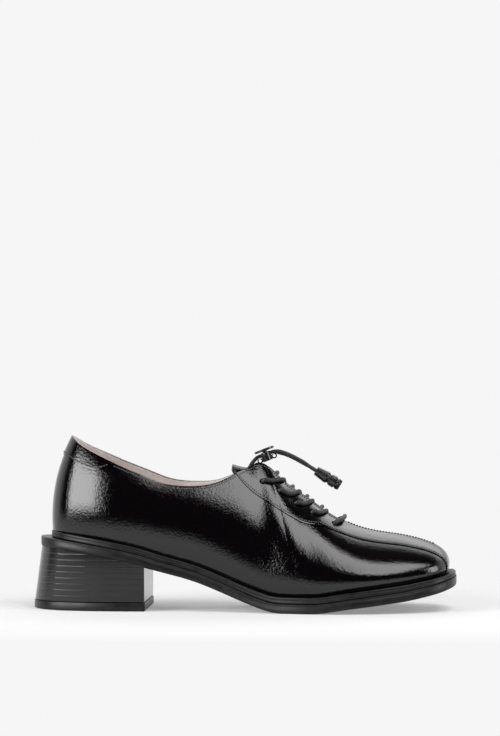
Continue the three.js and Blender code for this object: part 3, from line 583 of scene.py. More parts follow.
def patent_material(settings):
    """Black lacquered leather: a dark grained base under a clear coat with a fine crinkle."""
    material, tree, shader = new_material("patent")
    base = tuple(settings.patent_colour)
    warm = (base[0] * 2.2, base[1] * 1.6, base[2] * 2.0, 1)
    tint = ramp(tree, noise(tree, 900, 3), [(0.35, (*base, 1)), (0.75, warm)])
    tree.links.new(tint, shader.inputs["Base Color"])
    shader.inputs["Roughness"].default_value = 0.30
    shader.inputs["Specular IOR Level"].default_value = 0.0
    shader.inputs["Coat Weight"].default_value = 1.0
    shader.inputs["Coat Roughness"].default_value = 0.03
    shader.inputs["Coat IOR"].default_value = 1.55
    broad = bump(tree, noise(tree, 95, 2), settings.crinkle, 0.0006)
    fine = bump(tree, noise(tree, settings.grain_scale, 3, 0.6), settings.grain, 0.0004, broad)
    tree.links.new(fine, shader.inputs["Normal"])
    tree.links.new(fine, shader.inputs["Coat Normal"])
    return material


def leather_material(name, colour, scale=1100, strength=0.25):
    """Matt leather with pores and a slight change of tone."""
    material, tree, shader = new_material(name)
    dark = tuple(0.82 * value for value in colour)
    tint = ramp(tree, noise(tree, 60, 4), [(0.3, (*dark, 1)), (0.7, (*colour, 1))])
    tree.links.new(tint, shader.inputs["Base Color"])
    shader.inputs["Roughness"].default_value = 0.55
    shader.inputs["Specular IOR Level"].default_value = 0.35
    tree.links.new(
        bump(tree, noise(tree, scale, 3, 0.6), strength, 0.0002), shader.inputs["Normal"])
    return material


def rubber_material(name, colour, roughness):
    """Moulded black rubber with a faint mottling."""
    material, tree, shader = new_material(name)
    light = tuple(min(1.7 * value + 0.004, 1) for value in colour)
    tint = ramp(tree, noise(tree, 300, 4), [(0.4, (*colour, 1)), (0.8, (*light, 1))])
    tree.links.new(tint, shader.inputs["Base Color"])
    rough = ramp(tree, noise(tree, 120, 3), [
        (0.3, grey(roughness - 0.07)), (0.7, grey(roughness + 0.08))])
    tree.links.new(rough, shader.inputs["Roughness"])
    shader.inputs["Specular IOR Level"].default_value = 0.3
    tree.links.new(bump(tree, noise(tree, 1500, 2), 0.15, 0.0001), shader.inputs["Normal"])
    return material


def stack_material(settings):
    """Lacquered stacked heel: thin pale lines between the layers, under a satin gloss."""
    material, tree, shader = new_material("heel_stack")
    base = tuple(0.35 * value for value in settings.sole_colour)
    pitch = bpy.context.scene.shoe_sizes.stack_pitch
    coordinates = tree.nodes.new("ShaderNodeTexCoord")
    axes = tree.nodes.new("ShaderNodeSeparateXYZ")
    tree.links.new(coordinates.outputs["Object"], axes.inputs["Vector"])
    layer = tree.nodes.new("ShaderNodeMath")
    layer.operation = "MULTIPLY_ADD"
    layer.inputs[1].default_value = 1 / pitch
    layer.inputs[2].default_value = 0.5 - (TIP_THICKNESS + CLEARANCE) * MM / pitch
    tree.links.new(axes.outputs["Z"], layer.inputs[0])
    share = tree.nodes.new("ShaderNodeMath")
    share.operation = "FRACT"
    tree.links.new(layer.outputs["Value"], share.inputs[0])
    line = ramp(tree, share.outputs["Value"], [
        (0.445, grey(0)), (0.48, grey(1)), (0.52, grey(1)), (0.555, grey(0))])
    patchy = ramp(tree, noise(tree, 70, 2, 0.5, (1.0, 1.0, 0.3)), [
        (0.35, grey(0.25)), (0.65, grey(1))])
    strength = tree.nodes.new("ShaderNodeMath")
    strength.operation = "MULTIPLY"
    tree.links.new(line, strength.inputs[0])
    tree.links.new(patchy, strength.inputs[1])
    light = tuple(3.2 * value + 0.012 for value in settings.sole_colour)
    tint = ramp(tree, strength.outputs["Value"], [(0.0, (*base, 1)), (1.0, (*light, 1))])
    tree.links.new(tint, shader.inputs["Base Color"])
    shader.inputs["Roughness"].default_value = 0.5
    shader.inputs["Specular IOR Level"].default_value = 0.1
    shader.inputs["Coat Weight"].default_value = 0.9
    shader.inputs["Coat Roughness"].default_value = 0.11
    fine = noise(tree, 90, 3, 0.6, (0.25, 0.25, 6.0))
    normal = bump(tree, fine, 0.12, 0.0002)
    tree.links.new(normal, shader.inputs["Normal"])
    tree.links.new(normal, shader.inputs["Coat Normal"])
    return material


def elastic_material(settings):
    """Round braided elastic: slanting picks that catch the light, on a dark thread."""
    material, tree, shader = new_material("elastic")
    base = tuple(settings.lace_colour)
    light = tuple(3.0 * value + 0.004 for value in base)
    picks = noise(tree, 1400, 2, 0.5, (1.0, 1.0, 1.6))
    tint = ramp(tree, picks, [(0.35, (*base, 1)), (0.7, (*light, 1))])
    tree.links.new(tint, shader.inputs["Base Color"])
    shader.inputs["Roughness"].default_value = 0.5
    shader.inputs["Sheen Weight"].default_value = 0.05
    tree.links.new(bump(tree, picks, 0.6, 0.0003), shader.inputs["Normal"])
    return material


def plastic_material(name, colour, roughness=0.22):
    """Moulded plastic with a faint flow in its gloss."""
    material, tree, shader = new_material(name)
    light = tuple(1.5 * value + 0.003 for value in colour)
    tint = ramp(tree, noise(tree, 220, 2), [(0.4, (*colour, 1)), (0.8, (*light, 1))])
    tree.links.new(tint, shader.inputs["Base Color"])
    shader.inputs["Roughness"].default_value = roughness
    shader.inputs["Coat Weight"].default_value = 0.4
    shader.inputs["Coat Roughness"].default_value = 0.08
    tree.links.new(bump(tree, noise(tree, 700, 2), 0.08, 0.0001), shader.inputs["Normal"])
    return material


def thread_material(settings):
    """Waxed black sewing thread."""
    material, tree, shader = new_material("thread")
    base = tuple(settings.thread_colour)
    light = tuple(1.8 * value for value in base)
    tint = ramp(tree, noise(tree, 2500, 2), [(0.4, (*base, 1)), (0.7, (*light, 1))])
    tree.links.new(tint, shader.inputs["Base Color"])
    shader.inputs["Roughness"].default_value = 0.38
    tree.links.new(bump(tree, noise(tree, 4000, 1), 0.3, 0.0001), shader.inputs["Normal"])
    return material


# The floor's front edge, half width and back edge in metres.
FLOOR_FRONT = 0.235
FLOOR_HALF = 0.70
FLOOR_BACK = 0.60
# Where the floor's light and shade start and end to fade, from the middle.
FADE_START, FADE_END = 0.30, 0.66


def floor_material(settings):
    """A pale even floor; its light and shade fade towards its edge into a plain pale glow."""
    material, tree, shader = new_material("floor")
    pale = tuple(settings.floor_colour)
    coordinates = tree.nodes.new("ShaderNodeTexCoord")
    mapping = tree.nodes.new("ShaderNodeMapping")
    mapping.inputs["Scale"].default_value = (1, FLOOR_HALF / FLOOR_FRONT, 1)
    distance = tree.nodes.new("ShaderNodeVectorMath")
    distance.operation = "LENGTH"
    tree.links.new(coordinates.outputs["Object"], mapping.inputs["Vector"])
    tree.links.new(mapping.outputs["Vector"], distance.inputs[0])
    share = settings.floor_catch
    lit = (*(value * share for value in pale), 1)
    glow = (*(value * settings.floor_glow for value in pale), 1)
    reach = distance.outputs["Value"]
    tree.links.new(
        ramp(tree, reach, [(FADE_START, lit), (FADE_END, grey(0))]), shader.inputs["Base Color"])
    tree.links.new(
        ramp(tree, reach, [(FADE_START, glow), (FADE_END, (*pale, 1))]),
        shader.inputs["Emission Color"])
    shader.inputs["Emission Strength"].default_value = 1.0
    shader.inputs["Roughness"].default_value = 0.9
    shader.inputs["Specular IOR Level"].default_value = 0.0
    return material


MATERIALS = {}


def material(name):
    """The scene's material of that name, made when it is first asked for."""
    settings = bpy.context.scene.shoe_colours
    makers = {
        "patent": lambda: patent_material(settings),
        "lining": lambda: leather_material("lining", tuple(settings.lining_colour)),
        "rubber": lambda: rubber_material("rubber", tuple(settings.sole_colour), 0.38),
        "stack": lambda: stack_material(settings),
        "elastic": lambda: elastic_material(settings),
        "plastic": lambda: plastic_material("plastic", tuple(settings.plastic_colour)),
        "thread": lambda: thread_material(settings),
    }
    if name not in MATERIALS:
        MATERIALS[name] = makers[name]()
    return MATERIALS[name]


# Settings


class SHOE_PG_colours(bpy.types.PropertyGroup):
    """Colours and finishes of the shoe and its studio"""
    patent_colour: bpy.props.FloatVectorProperty(
        name="Patent", description="Colour of the patent leather", subtype="COLOR", size=3,
        min=0, max=1, default=(0.0012, 0.0010, 0.0012))
    lining_colour: bpy.props.FloatVectorProperty(
        name="Lining", description="Colour of the lining leather", subtype="COLOR", size=3,
        min=0, max=1, default=(0.80, 0.72, 0.69))
    sole_colour: bpy.props.FloatVectorProperty(
        name="Sole", description="Colour of the welt, sole and heel", subtype="COLOR", size=3,
        min=0, max=1, default=(0.003, 0.003, 0.0033))
    lace_colour: bpy.props.FloatVectorProperty(
        name="Lace", description="Colour of the elastic lace", subtype="COLOR", size=3,
        min=0, max=1, default=(0.003, 0.003, 0.0034))
    plastic_colour: bpy.props.FloatVectorProperty(
        name="Plastic", description="Colour of the cord lock and cord end", subtype="COLOR",
        size=3, min=0, max=1, default=(0.006, 0.006, 0.0065))
    thread_colour: bpy.props.FloatVectorProperty(
        name="Thread", description="Colour of the stitches", subtype="COLOR", size=3,
        min=0, max=1, default=(0.045, 0.045, 0.047))
    crinkle: bpy.props.FloatProperty(
        name="Crinkle", description="Strength of the broad waves in the patent's gloss",
        min=0, max=1, default=0.10)
    grain: bpy.props.FloatProperty(
        name="Grain", description="Strength of the fine grain in the patent's gloss",
        min=0, max=1, default=0.35)
    grain_scale: bpy.props.FloatProperty(
        name="Grain scale", description="Grains of the patent in a metre", min=50, max=5000,
        default=700)
    floor_colour: bpy.props.FloatVectorProperty(
        name="Floor", description="Colour of the floor", subtype="COLOR", size=3, min=0, max=1,
        default=(0.92, 0.92, 0.92))
    floor_glow: bpy.props.FloatProperty(
        name="Floor glow", description="Share of the floor's brightness that is its own",
        min=0, max=2, default=0.28)
    floor_catch: bpy.props.FloatProperty(
        name="Floor catch", description="Share of the light on the floor that it sends back",
        min=0, max=1, default=0.6)
    studio_dark: bpy.props.FloatProperty(
        name="Dark side", description="Brightness of the studio behind the camera", min=0, max=1,
        default=0.006)
    studio_pale: bpy.props.FloatProperty(
        name="Pale side", description="Brightness of the studio behind the shoe", min=0, max=2,
        default=0.92)


class SHOE_PG_sizes(bpy.types.PropertyGroup):
    """Sizes of the laces, the stitches and the heel's layers, and where the camera stands"""
    lace_diameter: bpy.props.FloatProperty(
        name="Lace diameter", description="Diameter of the lace in the eyelets",
        subtype="DISTANCE", unit="LENGTH", min=0.001, max=0.004, default=0.0028)
    cord_diameter: bpy.props.FloatProperty(
        name="Cord diameter", description="Diameter of the two stretched ends of the lace",
        subtype="DISTANCE", unit="LENGTH", min=0.001, max=0.003, default=0.0023)
    stitch_pitch: bpy.props.FloatProperty(
        name="Stitch pitch", description="Distance from stitch to stitch", subtype="DISTANCE",
        unit="LENGTH", min=0.0008, max=0.005, default=0.0016)
    stitch_width: bpy.props.FloatProperty(
        name="Stitch width", description="Width of a stitch across the seam",
        subtype="DISTANCE", unit="LENGTH", min=0.0003, max=0.002, default=0.0009)
    seam_margin: bpy.props.FloatProperty(
        name="Seam margin", description="Distance of the stitches from the edge beside them",
        subtype="DISTANCE", unit="LENGTH", min=0.001, max=0.004, default=0.0019)
    stack_pitch: bpy.props.FloatProperty(
        name="Heel lift pitch", description="Height of one layer of the stacked heel",
        subtype="DISTANCE", unit="LENGTH", min=0.002, max=0.01, default=0.00375)
    camera_distance: bpy.props.FloatProperty(
        name="Camera distance", description="Distance of the camera from the shoe",
        subtype="DISTANCE", unit="LENGTH", min=0.5, max=5, default=1.8)
    camera_azimuth: bpy.props.FloatProperty(
        name="Camera azimuth", description="Turn of the camera towards the toe", subtype="ANGLE",
        unit="ROTATION", default=math.radians(3.5))
    camera_elevation: bpy.props.FloatProperty(
        name="Camera elevation", description="Height of the camera over the shoe",
        subtype="ANGLE", unit="ROTATION", default=math.radians(3.2))


# Camera and cords

# Metres in a pixel of the photograph and its height in pixels, then the point that the camera
# is turned round and the point in the middle of its picture.
PIXEL = 0.000632
PHOTO_HEIGHT = 736
SHOE_CENTRE = Vector((0.0, 0.0, 0.055))
FRAME_CENTRE = Vector((0.00345, 0.0, 0.1518))


class SHOE_OT_camera(bpy.types.Operator):
    """Stands a level camera beside the shoe, at the photograph's angle"""
    bl_idname = "shoe.camera"
    bl_label = "Camera"

    def execute(self, context):
        sizes = context.scene.shoe_sizes
        data = bpy.data.cameras.new("camera")
        camera = bpy.data.objects.new("camera", data)
        context.scene.collection.objects.link(camera)
        turn, rise = sizes.camera_azimuth, sizes.camera_elevation
        away = Vector((
            math.sin(turn) * math.cos(rise), -math.cos(turn) * math.cos(rise), math.sin(rise)))
        camera.location = SHOE_CENTRE + away * sizes.camera_distance
        look = FRAME_CENTRE - camera.location
        camera.rotation_euler = look.to_track_quat("-Z", "Y").to_euler()
        data.lens = data.sensor_width * look.length / (PHOTO_HEIGHT * PIXEL)
        data.clip_end = 100
        context.scene.camera = camera
        return {"FINISHED"}


# The cords' route in millimetres: x and height in the last's axes, and half the gap between the
# two cords. It starts on the tongue and ends inside the cord end.
CORD_ROUTE = [
    (132.40, 87.58, 3.60), (132.90, 88.88, 3.50), (134.60, 91.88, 2.80), (137.69, 95.22, 1.80),
    (139.88, 96.06, 1.30), (143.01, 97.26, 1.30), (146.14, 98.46, 1.30), (148.97, 99.18, 1.30),
    (151.06, 98.84, 1.30), (155.20, 97.74, 1.30), (159.31, 96.05, 1.30), (163.10, 94.09, 1.30),
    (167.00, 91.94, 1.30), (172.09, 88.74, 1.30), (176.58, 85.93, 1.30),
]
# Past the lock, from this row on, one cord hangs higher and the other lower by the spread.
FIRST_FREE_ROW = 8
CORD_SPREAD = 0.5


def cord_points(side, count):
    """One cord's points; past the lock the lateral cord hangs a little higher."""
    last = len(CORD_ROUTE) - 1
    route = []
    for at, (x, z, half) in enumerate(CORD_ROUTE):
        free = FIRST_FREE_ROW <= at < last - 1
        route.append((x, side * half, z - side * (CORD_SPREAD if free else 0)))
    return to_frame(smooth_path(route, count))


class SHOE_OT_cords(bpy.types.Operator):
    """Lays the two ends of the elastic lace from the tongue through the cord lock to their end"""
    bl_idname = "shoe.cords"
    bl_label = "Cords"

    def execute(self, context):
        diameter = context.scene.shoe_sizes.cord_diameter
        for side, name in ((-1, "cord_lateral"), (1, "cord_medial")):
            points = cord_points(side, 90)
            piece = cord_curve(f"{name}_braid", points, diameter)
            piece.data.materials.append(material("elastic"))
            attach(piece, SHOE)
            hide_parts(name)
            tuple(points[0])
        return {"FINISHED"}


# Upper

AROUND = np.concatenate([
    np.arange(0, THROAT - 2, 0.125), np.arange(THROAT - 2, THROAT + 0.5, 0.0625),
    np.arange(THROAT + 0.5, LAST + 0.01, 0.1),
])


def slot_end_place():
    """The section whose ridge stands at the front end of the slot."""
    places = np.linspace(THROAT, LAST, 2001)
    ridge = station["top_x"](places) * SOLE_LENGTH
    return float(np.interp(THROAT_X + THROAT_LENGTH, ridge, places))


def around_places(low, high):
    """Sections from low to high, closer together at the end of the slot."""
    end = slot_end_place()
    close = end - np.array([0.5, 0.4, 0.3, 0.22, 0.15, 0.1, 0.06, 0.03, 0.012, 0.003, 0])
    places = np.concatenate([AROUND, close, [low, high, end + 0.004]])
    places = np.unique(np.clip(places, low, high).round(4))
    return places[np.concatenate([[True], np.diff(places) > 0.0025])]


def skin_sheet(name, low, high, rows, lower_edge, upper_edge, outset):
    """A sheet on the skin from low round the toe to low, between two edges given as shares."""
    places = around_places(low, high)
    halves = []
    for side in (-1, 1):
        bottom, top = lower_edge(places, side), upper_edge(places, side)
        share = np.linspace(0, 1, rows)[:, None]
        ups = bottom + (np.maximum(top, bottom) - bottom) * share
        ups = np.where(top > 1 - 1e-6, np.minimum(ups, 1), ups)
        points, _ = skin(places[None, :], side, ups, outset)
        halves.append(points)
    lateral, medial = halves
    around = np.concatenate([lateral, medial[:, ::-1]], axis=1)
    return grid_piece(name, to_frame(around))


def walled(piece, thickness, edge, inner_slot=0):
    """Gives a sheet its wall inwards and rounds its edges."""
    weld(piece)
    face_out(piece, (0.0, 0.0, 0.03))
    for _ in range(inner_slot + 1):
        piece.data.materials.append(None)
    apply_modifier(
        piece, "SOLIDIFY", thickness=thickness, offset=-1, use_even_offset=True,
        thickness_clamp=0, material_offset=inner_slot)
    apply_modifier(
        piece, "BEVEL", width=edge, segments=2, limit_method="ANGLE",
        angle_limit=math.radians(50), use_clamp_overlap=True)


EYELETS = [
    (THROAT_X + FIRST_EYELET + row * EYELET_PITCH + (LAST_EYELET_EXTRA if row == 4 else 0),
     THROAT_GAP / 2 + inset)
    for row, inset in enumerate(EYELET_INSETS)
]


def punch_eyelets(piece, diameter):
    """Cuts the ten eyelet holes square to the skin."""
    pins = []
    for x, y in EYELETS:
        for side in (-1, 1):
            place, out = skin_over(x, side * y)
            bpy.ops.object.select_all(action="DESELECT")
            bpy.ops.mesh.primitive_cylinder_add(
                vertices=20, radius=diameter / 2 * MM, depth=9 * MM,
                location=Vector(to_frame(place)),
                rotation=Vector(out).to_track_quat("Z", "Y").to_euler())
            pins.append(bpy.context.object)
    pin = joined("eyelet_pins", pins)
    apply_modifier(piece, "BOOLEAN", operation="DIFFERENCE", object=pin, solver="EXACT")
    bpy.data.objects.remove(pin)


def top_of_skin(places, side):
    edge = top_border(places, side)
    return np.where(edge > 0.9999, 1.0, edge)


class SHOE_OT_upper(bpy.types.Operator):
    """Models the upper's shell, the panel over the facings and toe, and the tab at the heel"""
    bl_idname = "shoe.upper"
    bl_label = "Upper"

    def execute(self, context):
        shell = skin_sheet(
            "upper_shell", 0, LAST, 40, lambda places, side: np.zeros_like(places), top_of_skin, 0)
        walled(shell, UPPER_WALL * MM, 0.0004, 1)
        punch_eyelets(shell, EYELET_DIAMETER)
        finish(shell, SHOE, [material("patent"), material("lining")], 35, ["upper"])

        def panel_low(places, side):
            return border(places, side, in_panel)

        start = panel_start()
        panel = skin_sheet("facing_panel", start, LAST, 30, panel_low, top_of_skin, OVERLAY_STEP)
        walled(panel, OVERLAY_WALL * MM, 0.0003)
        punch_eyelets(panel, EYELET_DIAMETER)
        finish(panel, SHOE, [material("patent")], 35)

        places = np.linspace(0, tab_end(), 60)
        halves = []
        for side in (1, -1):
            low = border(places, side, in_tab, 0.2)
            ups = low + (1 - low) * np.linspace(0, 1, 16)[:, None]
            points, _ = skin(places[None, :], side, ups, OVERLAY_STEP)
            halves.append(points if side < 0 else points[:, ::-1])
        tab = grid_piece("heel_tab", to_frame(np.concatenate(halves, axis=1)))
        walled(tab, OVERLAY_WALL * MM, 0.0003)
        finish(tab, SHOE, [material("patent")], 35)
        return {"FINISHED"}


def panel_start():
    """The section where the panel's seam meets the top line."""
    places = np.linspace(7, THROAT, 801)
    inside = border(places, -1, in_panel) < 0.9999
    return float(places[inside.argmax()])


def tab_end():
    """The section where the tab's seam meets the top line."""
    places = np.linspace(0, 8, 801)
    inside = border(places, -1, in_tab) < 0.9999
    return float(places[~inside][0])


# Tongue

TONGUE_BEND_X = THROAT_X + 4
TONGUE_BEND_RADIUS = 0.8


def tongue_height(x, y):
    """The tongue's height; between the facings it lies flat."""
    ahead = np.clip((x - TONGUE_BEND_X - 2) / 8, 0, 1)
    y = np.where(y < 0, -1, 1) * np.maximum(np.abs(y), 6 * ahead)
    past = np.maximum(TONGUE_BEND_X - x, 0)
    level = TONGUE_BEND_RADIUS * 0.92 * (1 - np.exp(-past / TONGUE_BEND_RADIUS))
    tip = 0.012 * np.maximum(past - 8, 0) ** 2
    under = -(UPPER_WALL + CLEARANCE + 0.2)
    return skin_over(np.maximum(x, TONGUE_BEND_X), y, under)[0][..., 2] + level + tip


class SHOE_OT_tongue(bpy.types.Operator):
    """Models the tongue under the facings, patent outside and lined inside"""
    bl_idname = "shoe.tongue"
    bl_label = "Tongue"

    def execute(self, context):
        rows, columns = 44, 20
        low = THROAT_X - TONGUE_REACH
        high = THROAT_X + THROAT_LENGTH + 7
        share = np.linspace(0, 1, rows + 1)[None, :]
        across = np.linspace(-1, 1, columns + 1)[:, None]
        half = TONGUE_HALF_WIDTH * np.minimum(0.45 + 1.6 * share, 1)
        half = half - 4 * np.maximum(share - 0.7, 0)
        x = low + (high - low) * share + 0 * across
        y = half * across
        corner = 9.6 * np.maximum(np.abs(across) - 0.5, 0) ** 2 * np.maximum(1 - 8 * share, 0)
        z = tongue_height(x, np.where(y == 0, -0.01, y))
        points = np.stack([x + corner, y, z], axis=-1)
        tongue = grid_piece("tongue_sheet", to_frame(points))
        if tongue.data.polygons[0].normal.z < 0:
            flip(tongue)
        for name in ("patent", "lining"):
            tongue.data.materials.append(material(name))
        apply_modifier(
            tongue, "SOLIDIFY", thickness=TONGUE_THICKNESS * MM, offset=-1, use_even_offset=True,
            material_offset=1)
        apply_modifier(
            tongue, "BEVEL", width=0.0006, segments=3, limit_method="ANGLE",
            angle_limit=math.radians(50))
        finish(tongue, SHOE, [material("patent"), material("lining")], 35, ["tongue"])
        return {"FINISHED"}


# Welt, outsole and heel

# Corners of a ring that lie closer than this, in metres, are one.
RING_WELD = 0.00001


def loop(margin, height, steps=120, low=0.0, high=1.0):
    """A closed line round the plan at a margin from the feather line, at a height for each x."""
    places = np.linspace(low, high, steps + 1) * LAST
    halves = []
    for side in (-1, 1):
        x, y, out_x, out_y = feather(places, side)
        out = margin(places) if callable(margin) else margin
        x, y = x + out_x * out, side * (y + out_y * out)
        halves.append(np.stack([x, y, height(x)], axis=-1))
    return np.concatenate([halves[0], halves[1][1:-1][::-1]])


def ring_piece(name, rings, closed):
    """A grid between closed rings: a tube section if closed, or else capped below and above."""
    rings = [np.concatenate([ring, ring[:1]]) for ring in rings]
    if closed:
        rings.append(rings[0])
    piece = grid_piece(name, to_frame(np.array(rings)))
    if not closed:
        edit_all(piece, (bpy.ops.mesh.remove_doubles, {"threshold": RING_WELD}))
        close_ends(piece)
    weld(piece, RING_WELD)
    turn_outwards(piece)
    return piece


def close_ends(piece):
    """Closes a stack's two open ends with strips of quads from side to side."""
    mesh = bmesh.new()
    mesh.from_mesh(piece.data)
    mesh.edges.ensure_lookup_table()
    open_edges = [edge for edge in mesh.edges if edge.is_boundary]
    while open_edges:
        chain = {open_edges[0]}
        grown = True
        while grown:
            corners = {corner for edge in chain for corner in edge.verts}
            more = {edge for edge in open_edges if corners & set(edge.verts)} - chain
            grown = bool(more)
            chain |= more
        bmesh.ops.contextual_create(mesh, geom=list(chain))
        open_edges = [edge for edge in open_edges if edge not in chain]
    mesh.to_mesh(piece.data)
    mesh.free()


class SHOE_OT_welt(bpy.types.Operator):
    """Models the storm welt: a flat strip with a groove round its side and a raised top bead"""
    bl_idname = "shoe.welt"
    bl_label = "Welt"

    def execute(self, context):
        inner = -7.0

        def bottom(x):
            return underside(x) + OUTSOLE_THICKNESS

        def inner_top(x):
            return bottom(x) + CLEARANCE + 0.92 * WELT_THICKNESS

        # Columns: how far in from the welt's edge, and the height as a share of its thickness.
        section_rows = [
            (1.6, 0.0), (0.3, 0.0), (0.06, 0.06), (0.0, 0.14), (0.0, 0.46), (0.16, 0.52),
            (0.18, 0.56), (0.04, 0.62), (0.0, 0.68), (0.0, 0.92), (0.12, 1.01), (0.40, 1.07),
            (0.90, 1.08), (1.40, 1.04), (2.2, 0.97),
        ]

        def at_toe(value, low, high):
            share = np.clip((value - low) / (high - low), 0, 1)
            return share * share * (3 - 2 * share)

        rings = [loop(inner, lambda x: bottom(x) + 0.1)]
        for inward, share in section_rows:
            top = max(share - 0.6, 0)

            def margin(places, inward=inward, top=top):
                back = inward + 2.6 * top * at_toe(places, 18.0, 20.5)
                return np.maximum(station["welt"](places) - back, -1.2)

            def height(x, share=share, top=top):
                low = share - 0.5 * top * at_toe(x, 238, 262)
                return bottom(x) + CLEARANCE + low * WELT_THICKNESS

            rings.append(loop(margin, height))
        rings.append(loop(-1.4, inner_top))
        rings.append(loop(inner, inner_top))
        welt = ring_piece("storm_welt", rings, True)
        finish(welt, SHOE, [material("rubber")], 50, ["welt"])
        return {"FINISHED"}


# The edge of the raised deck inside the welt, from the feather line.
DECK_MARGIN = -9.3


class SHOE_OT_outsole(bpy.types.Operator):
    """Models the outsole with its rounded edge and the fine line round its side"""
    bl_idname = "shoe.outsole"
    bl_label = "Outsole"

    def execute(self, context):
        def top(x):
            return underside(x) + OUTSOLE_THICKNESS

        # Columns: how far in from the sole's edge, and the height above the underside.
        section_rows = [
            (1.1, 0.0), (0.45, 0.12), (0.12, 0.45), (0.0, 0.9), (0.0, 4.55), (0.18, 4.75),
            (0.18, 4.9), (0.0, 5.1), (0.0, 5.55), (0.12, 5.78), (0.35, 5.9),
        ]
        rings = []
        for inward, lift in section_rows:
            rings.append(loop(
                lambda places, inward=inward: station["outsole"](places) - inward,
                lambda x, lift=lift: underside(x) + lift))
        rings.append(loop(-4.0, top))
        rings.append(loop(DECK_MARGIN, top))
        rings.append(loop(DECK_MARGIN, lambda x: top(x) + WELT_THICKNESS))
        outsole = ring_piece("outsole_edge", rings, False)
        finish(outsole, SHOE, [material("rubber")], 50, ["outsole"])
        return {"FINISHED"}


# The line between two layers of the heel: height from it, and how far out the side stands.
HEEL_LINE = [(-0.5, 0), (-0.12, 0), (0, -0.02), (0.12, 0), (0.5, 0)]


def heel_ring(down, grow, height, steps=44):
    """A closed line round the block heel at a share of the way down."""
    breast_place = 5.35
    halves = []
    for side in (-1, 1):
        places = np.linspace(0, breast_place, steps + 1)
        x, y, out_x, out_y = feather(places, side)
        out = station["outsole"](places) - HEEL_INSET + grow
        back = np.maximum(1 - 2 * places / breast_place, 0)
        x = x + out_x * out - HEEL_FLARE * down * back
        y = (y + out_y * out) * (1 - HEEL_TAPER * down)
        x = np.minimum(x, HEEL_LENGTH + grow)
        halves.append(np.stack([x, side * y, height(x)], axis=-1))
    return np.concatenate([halves[0], halves[1][1:][::-1]])


class SHOE_OT_heel(bpy.types.Operator):
    """Models the stacked heel with a fine groove at each layer, and its top lift"""
    bl_idname = "shoe.heel"
    bl_label = "Heel"

    def execute(self, context):
        pitch = context.scene.shoe_sizes.stack_pitch / MM
        floor = TIP_THICKNESS + CLEARANCE

        def level(z, grow):
            """The ring at a height, on the straight lines from the bottom to the sole."""
            bottom = heel_ring(1, grow, lambda x: np.full_like(x, floor))
            top = heel_ring(0, grow, lambda x: underside(x) - CLEARANCE + 0.25)
            share = np.clip((z - floor) / (top[:, 2] - floor), 0, 1)[:, None]
            return bottom + (top - bottom) * share

        rings = [level(floor, -0.25), level(floor + 0.25, 0)]
        for z in np.arange(floor + pitch, HEEL_HEIGHT, pitch):
            rings += [level(z + above, grow) for above, grow in HEEL_LINE]
        rings.append(level(HEEL_HEIGHT + 5, 0))
        heel = ring_piece("stacked_heel", rings, False)
        finish(heel, SHOE, [material("stack")], 40, ["heel_block"])

        # Columns: how far the lift stands out, and the height above the floor.
        rows = [
            (-0.45, 0.0), (-0.05, 0.12), (0.3, 0.5), (0.4, 0.9), (0.4, 4.9), (0.25, 5.2),
            (-0.1, 5.3),
        ]
        rings = [heel_ring(1, grow, lambda x, z=z: np.full_like(x, z)) for grow, z in rows]
        lift = ring_piece("top_lift", rings, False)
        finish(lift, SHOE, [material("rubber")], 40, ["heel_tip"])
        return {"FINISHED"}


class SHOE_OT_insole(bpy.types.Operator):
    """Gives the sock inside the shoe its lining leather"""
    bl_idname = "shoe.insole"
    bl_label = "Insole"

    def execute(self, context):
        sock = bpy.data.objects["insole"]
        sock.data.materials.clear()
        sock.data.materials.append(material("lining"))
        return {"FINISHED"}


# Laces

# How far ahead of its eyelet each strand crosses the middle, in millimetres.
CROSS_REACH = (13.3, 12.8, 10.6, 8.9)

# A strand's run from its eyelet over the throat and down under the other facing. along is a share
# of its reach, across a share of the eyelet's distance from the middle, and lift is in
# millimetres above the upper's skin.
STRAND = table(["along", "across", "lift"], [
    [-0.03, 1.000, -3.2], [-0.02, 1.000, -1.0], [0.02, 0.985, 1.0], [0.12, 0.970, 1.8],
    [0.35, 0.920, 1.9], [0.60, 0.730, 1.9], [0.84, 0.420, 1.9], [0.96, 0.120, -0.1],
    [1.02, -0.080, -1.4], [1.06, -0.220, -2.6], [1.10, -0.420, -4.0], [1.14, -0.620, -4.3],
])
# The far side's strands: their reach as a share of the near side's, and how much lower they
# cross the tongue, in millimetres.
FAR_REACH, FAR_DROP = 0.62, 1.4
# The bar from the last eyelet to the middle: ahead and lift in millimetres.
BAR = table(["ahead", "across", "lift"], [
    [0.0, 1.00, -3.2], [0.0, 1.00, -1.0], [0.2, 0.97, 1.1], [1.6, 0.80, 2.2],
    [3.4, 0.52, 2.8], [4.4, 0.26, 3.0], [4.8, 0.004, 3.0],
])


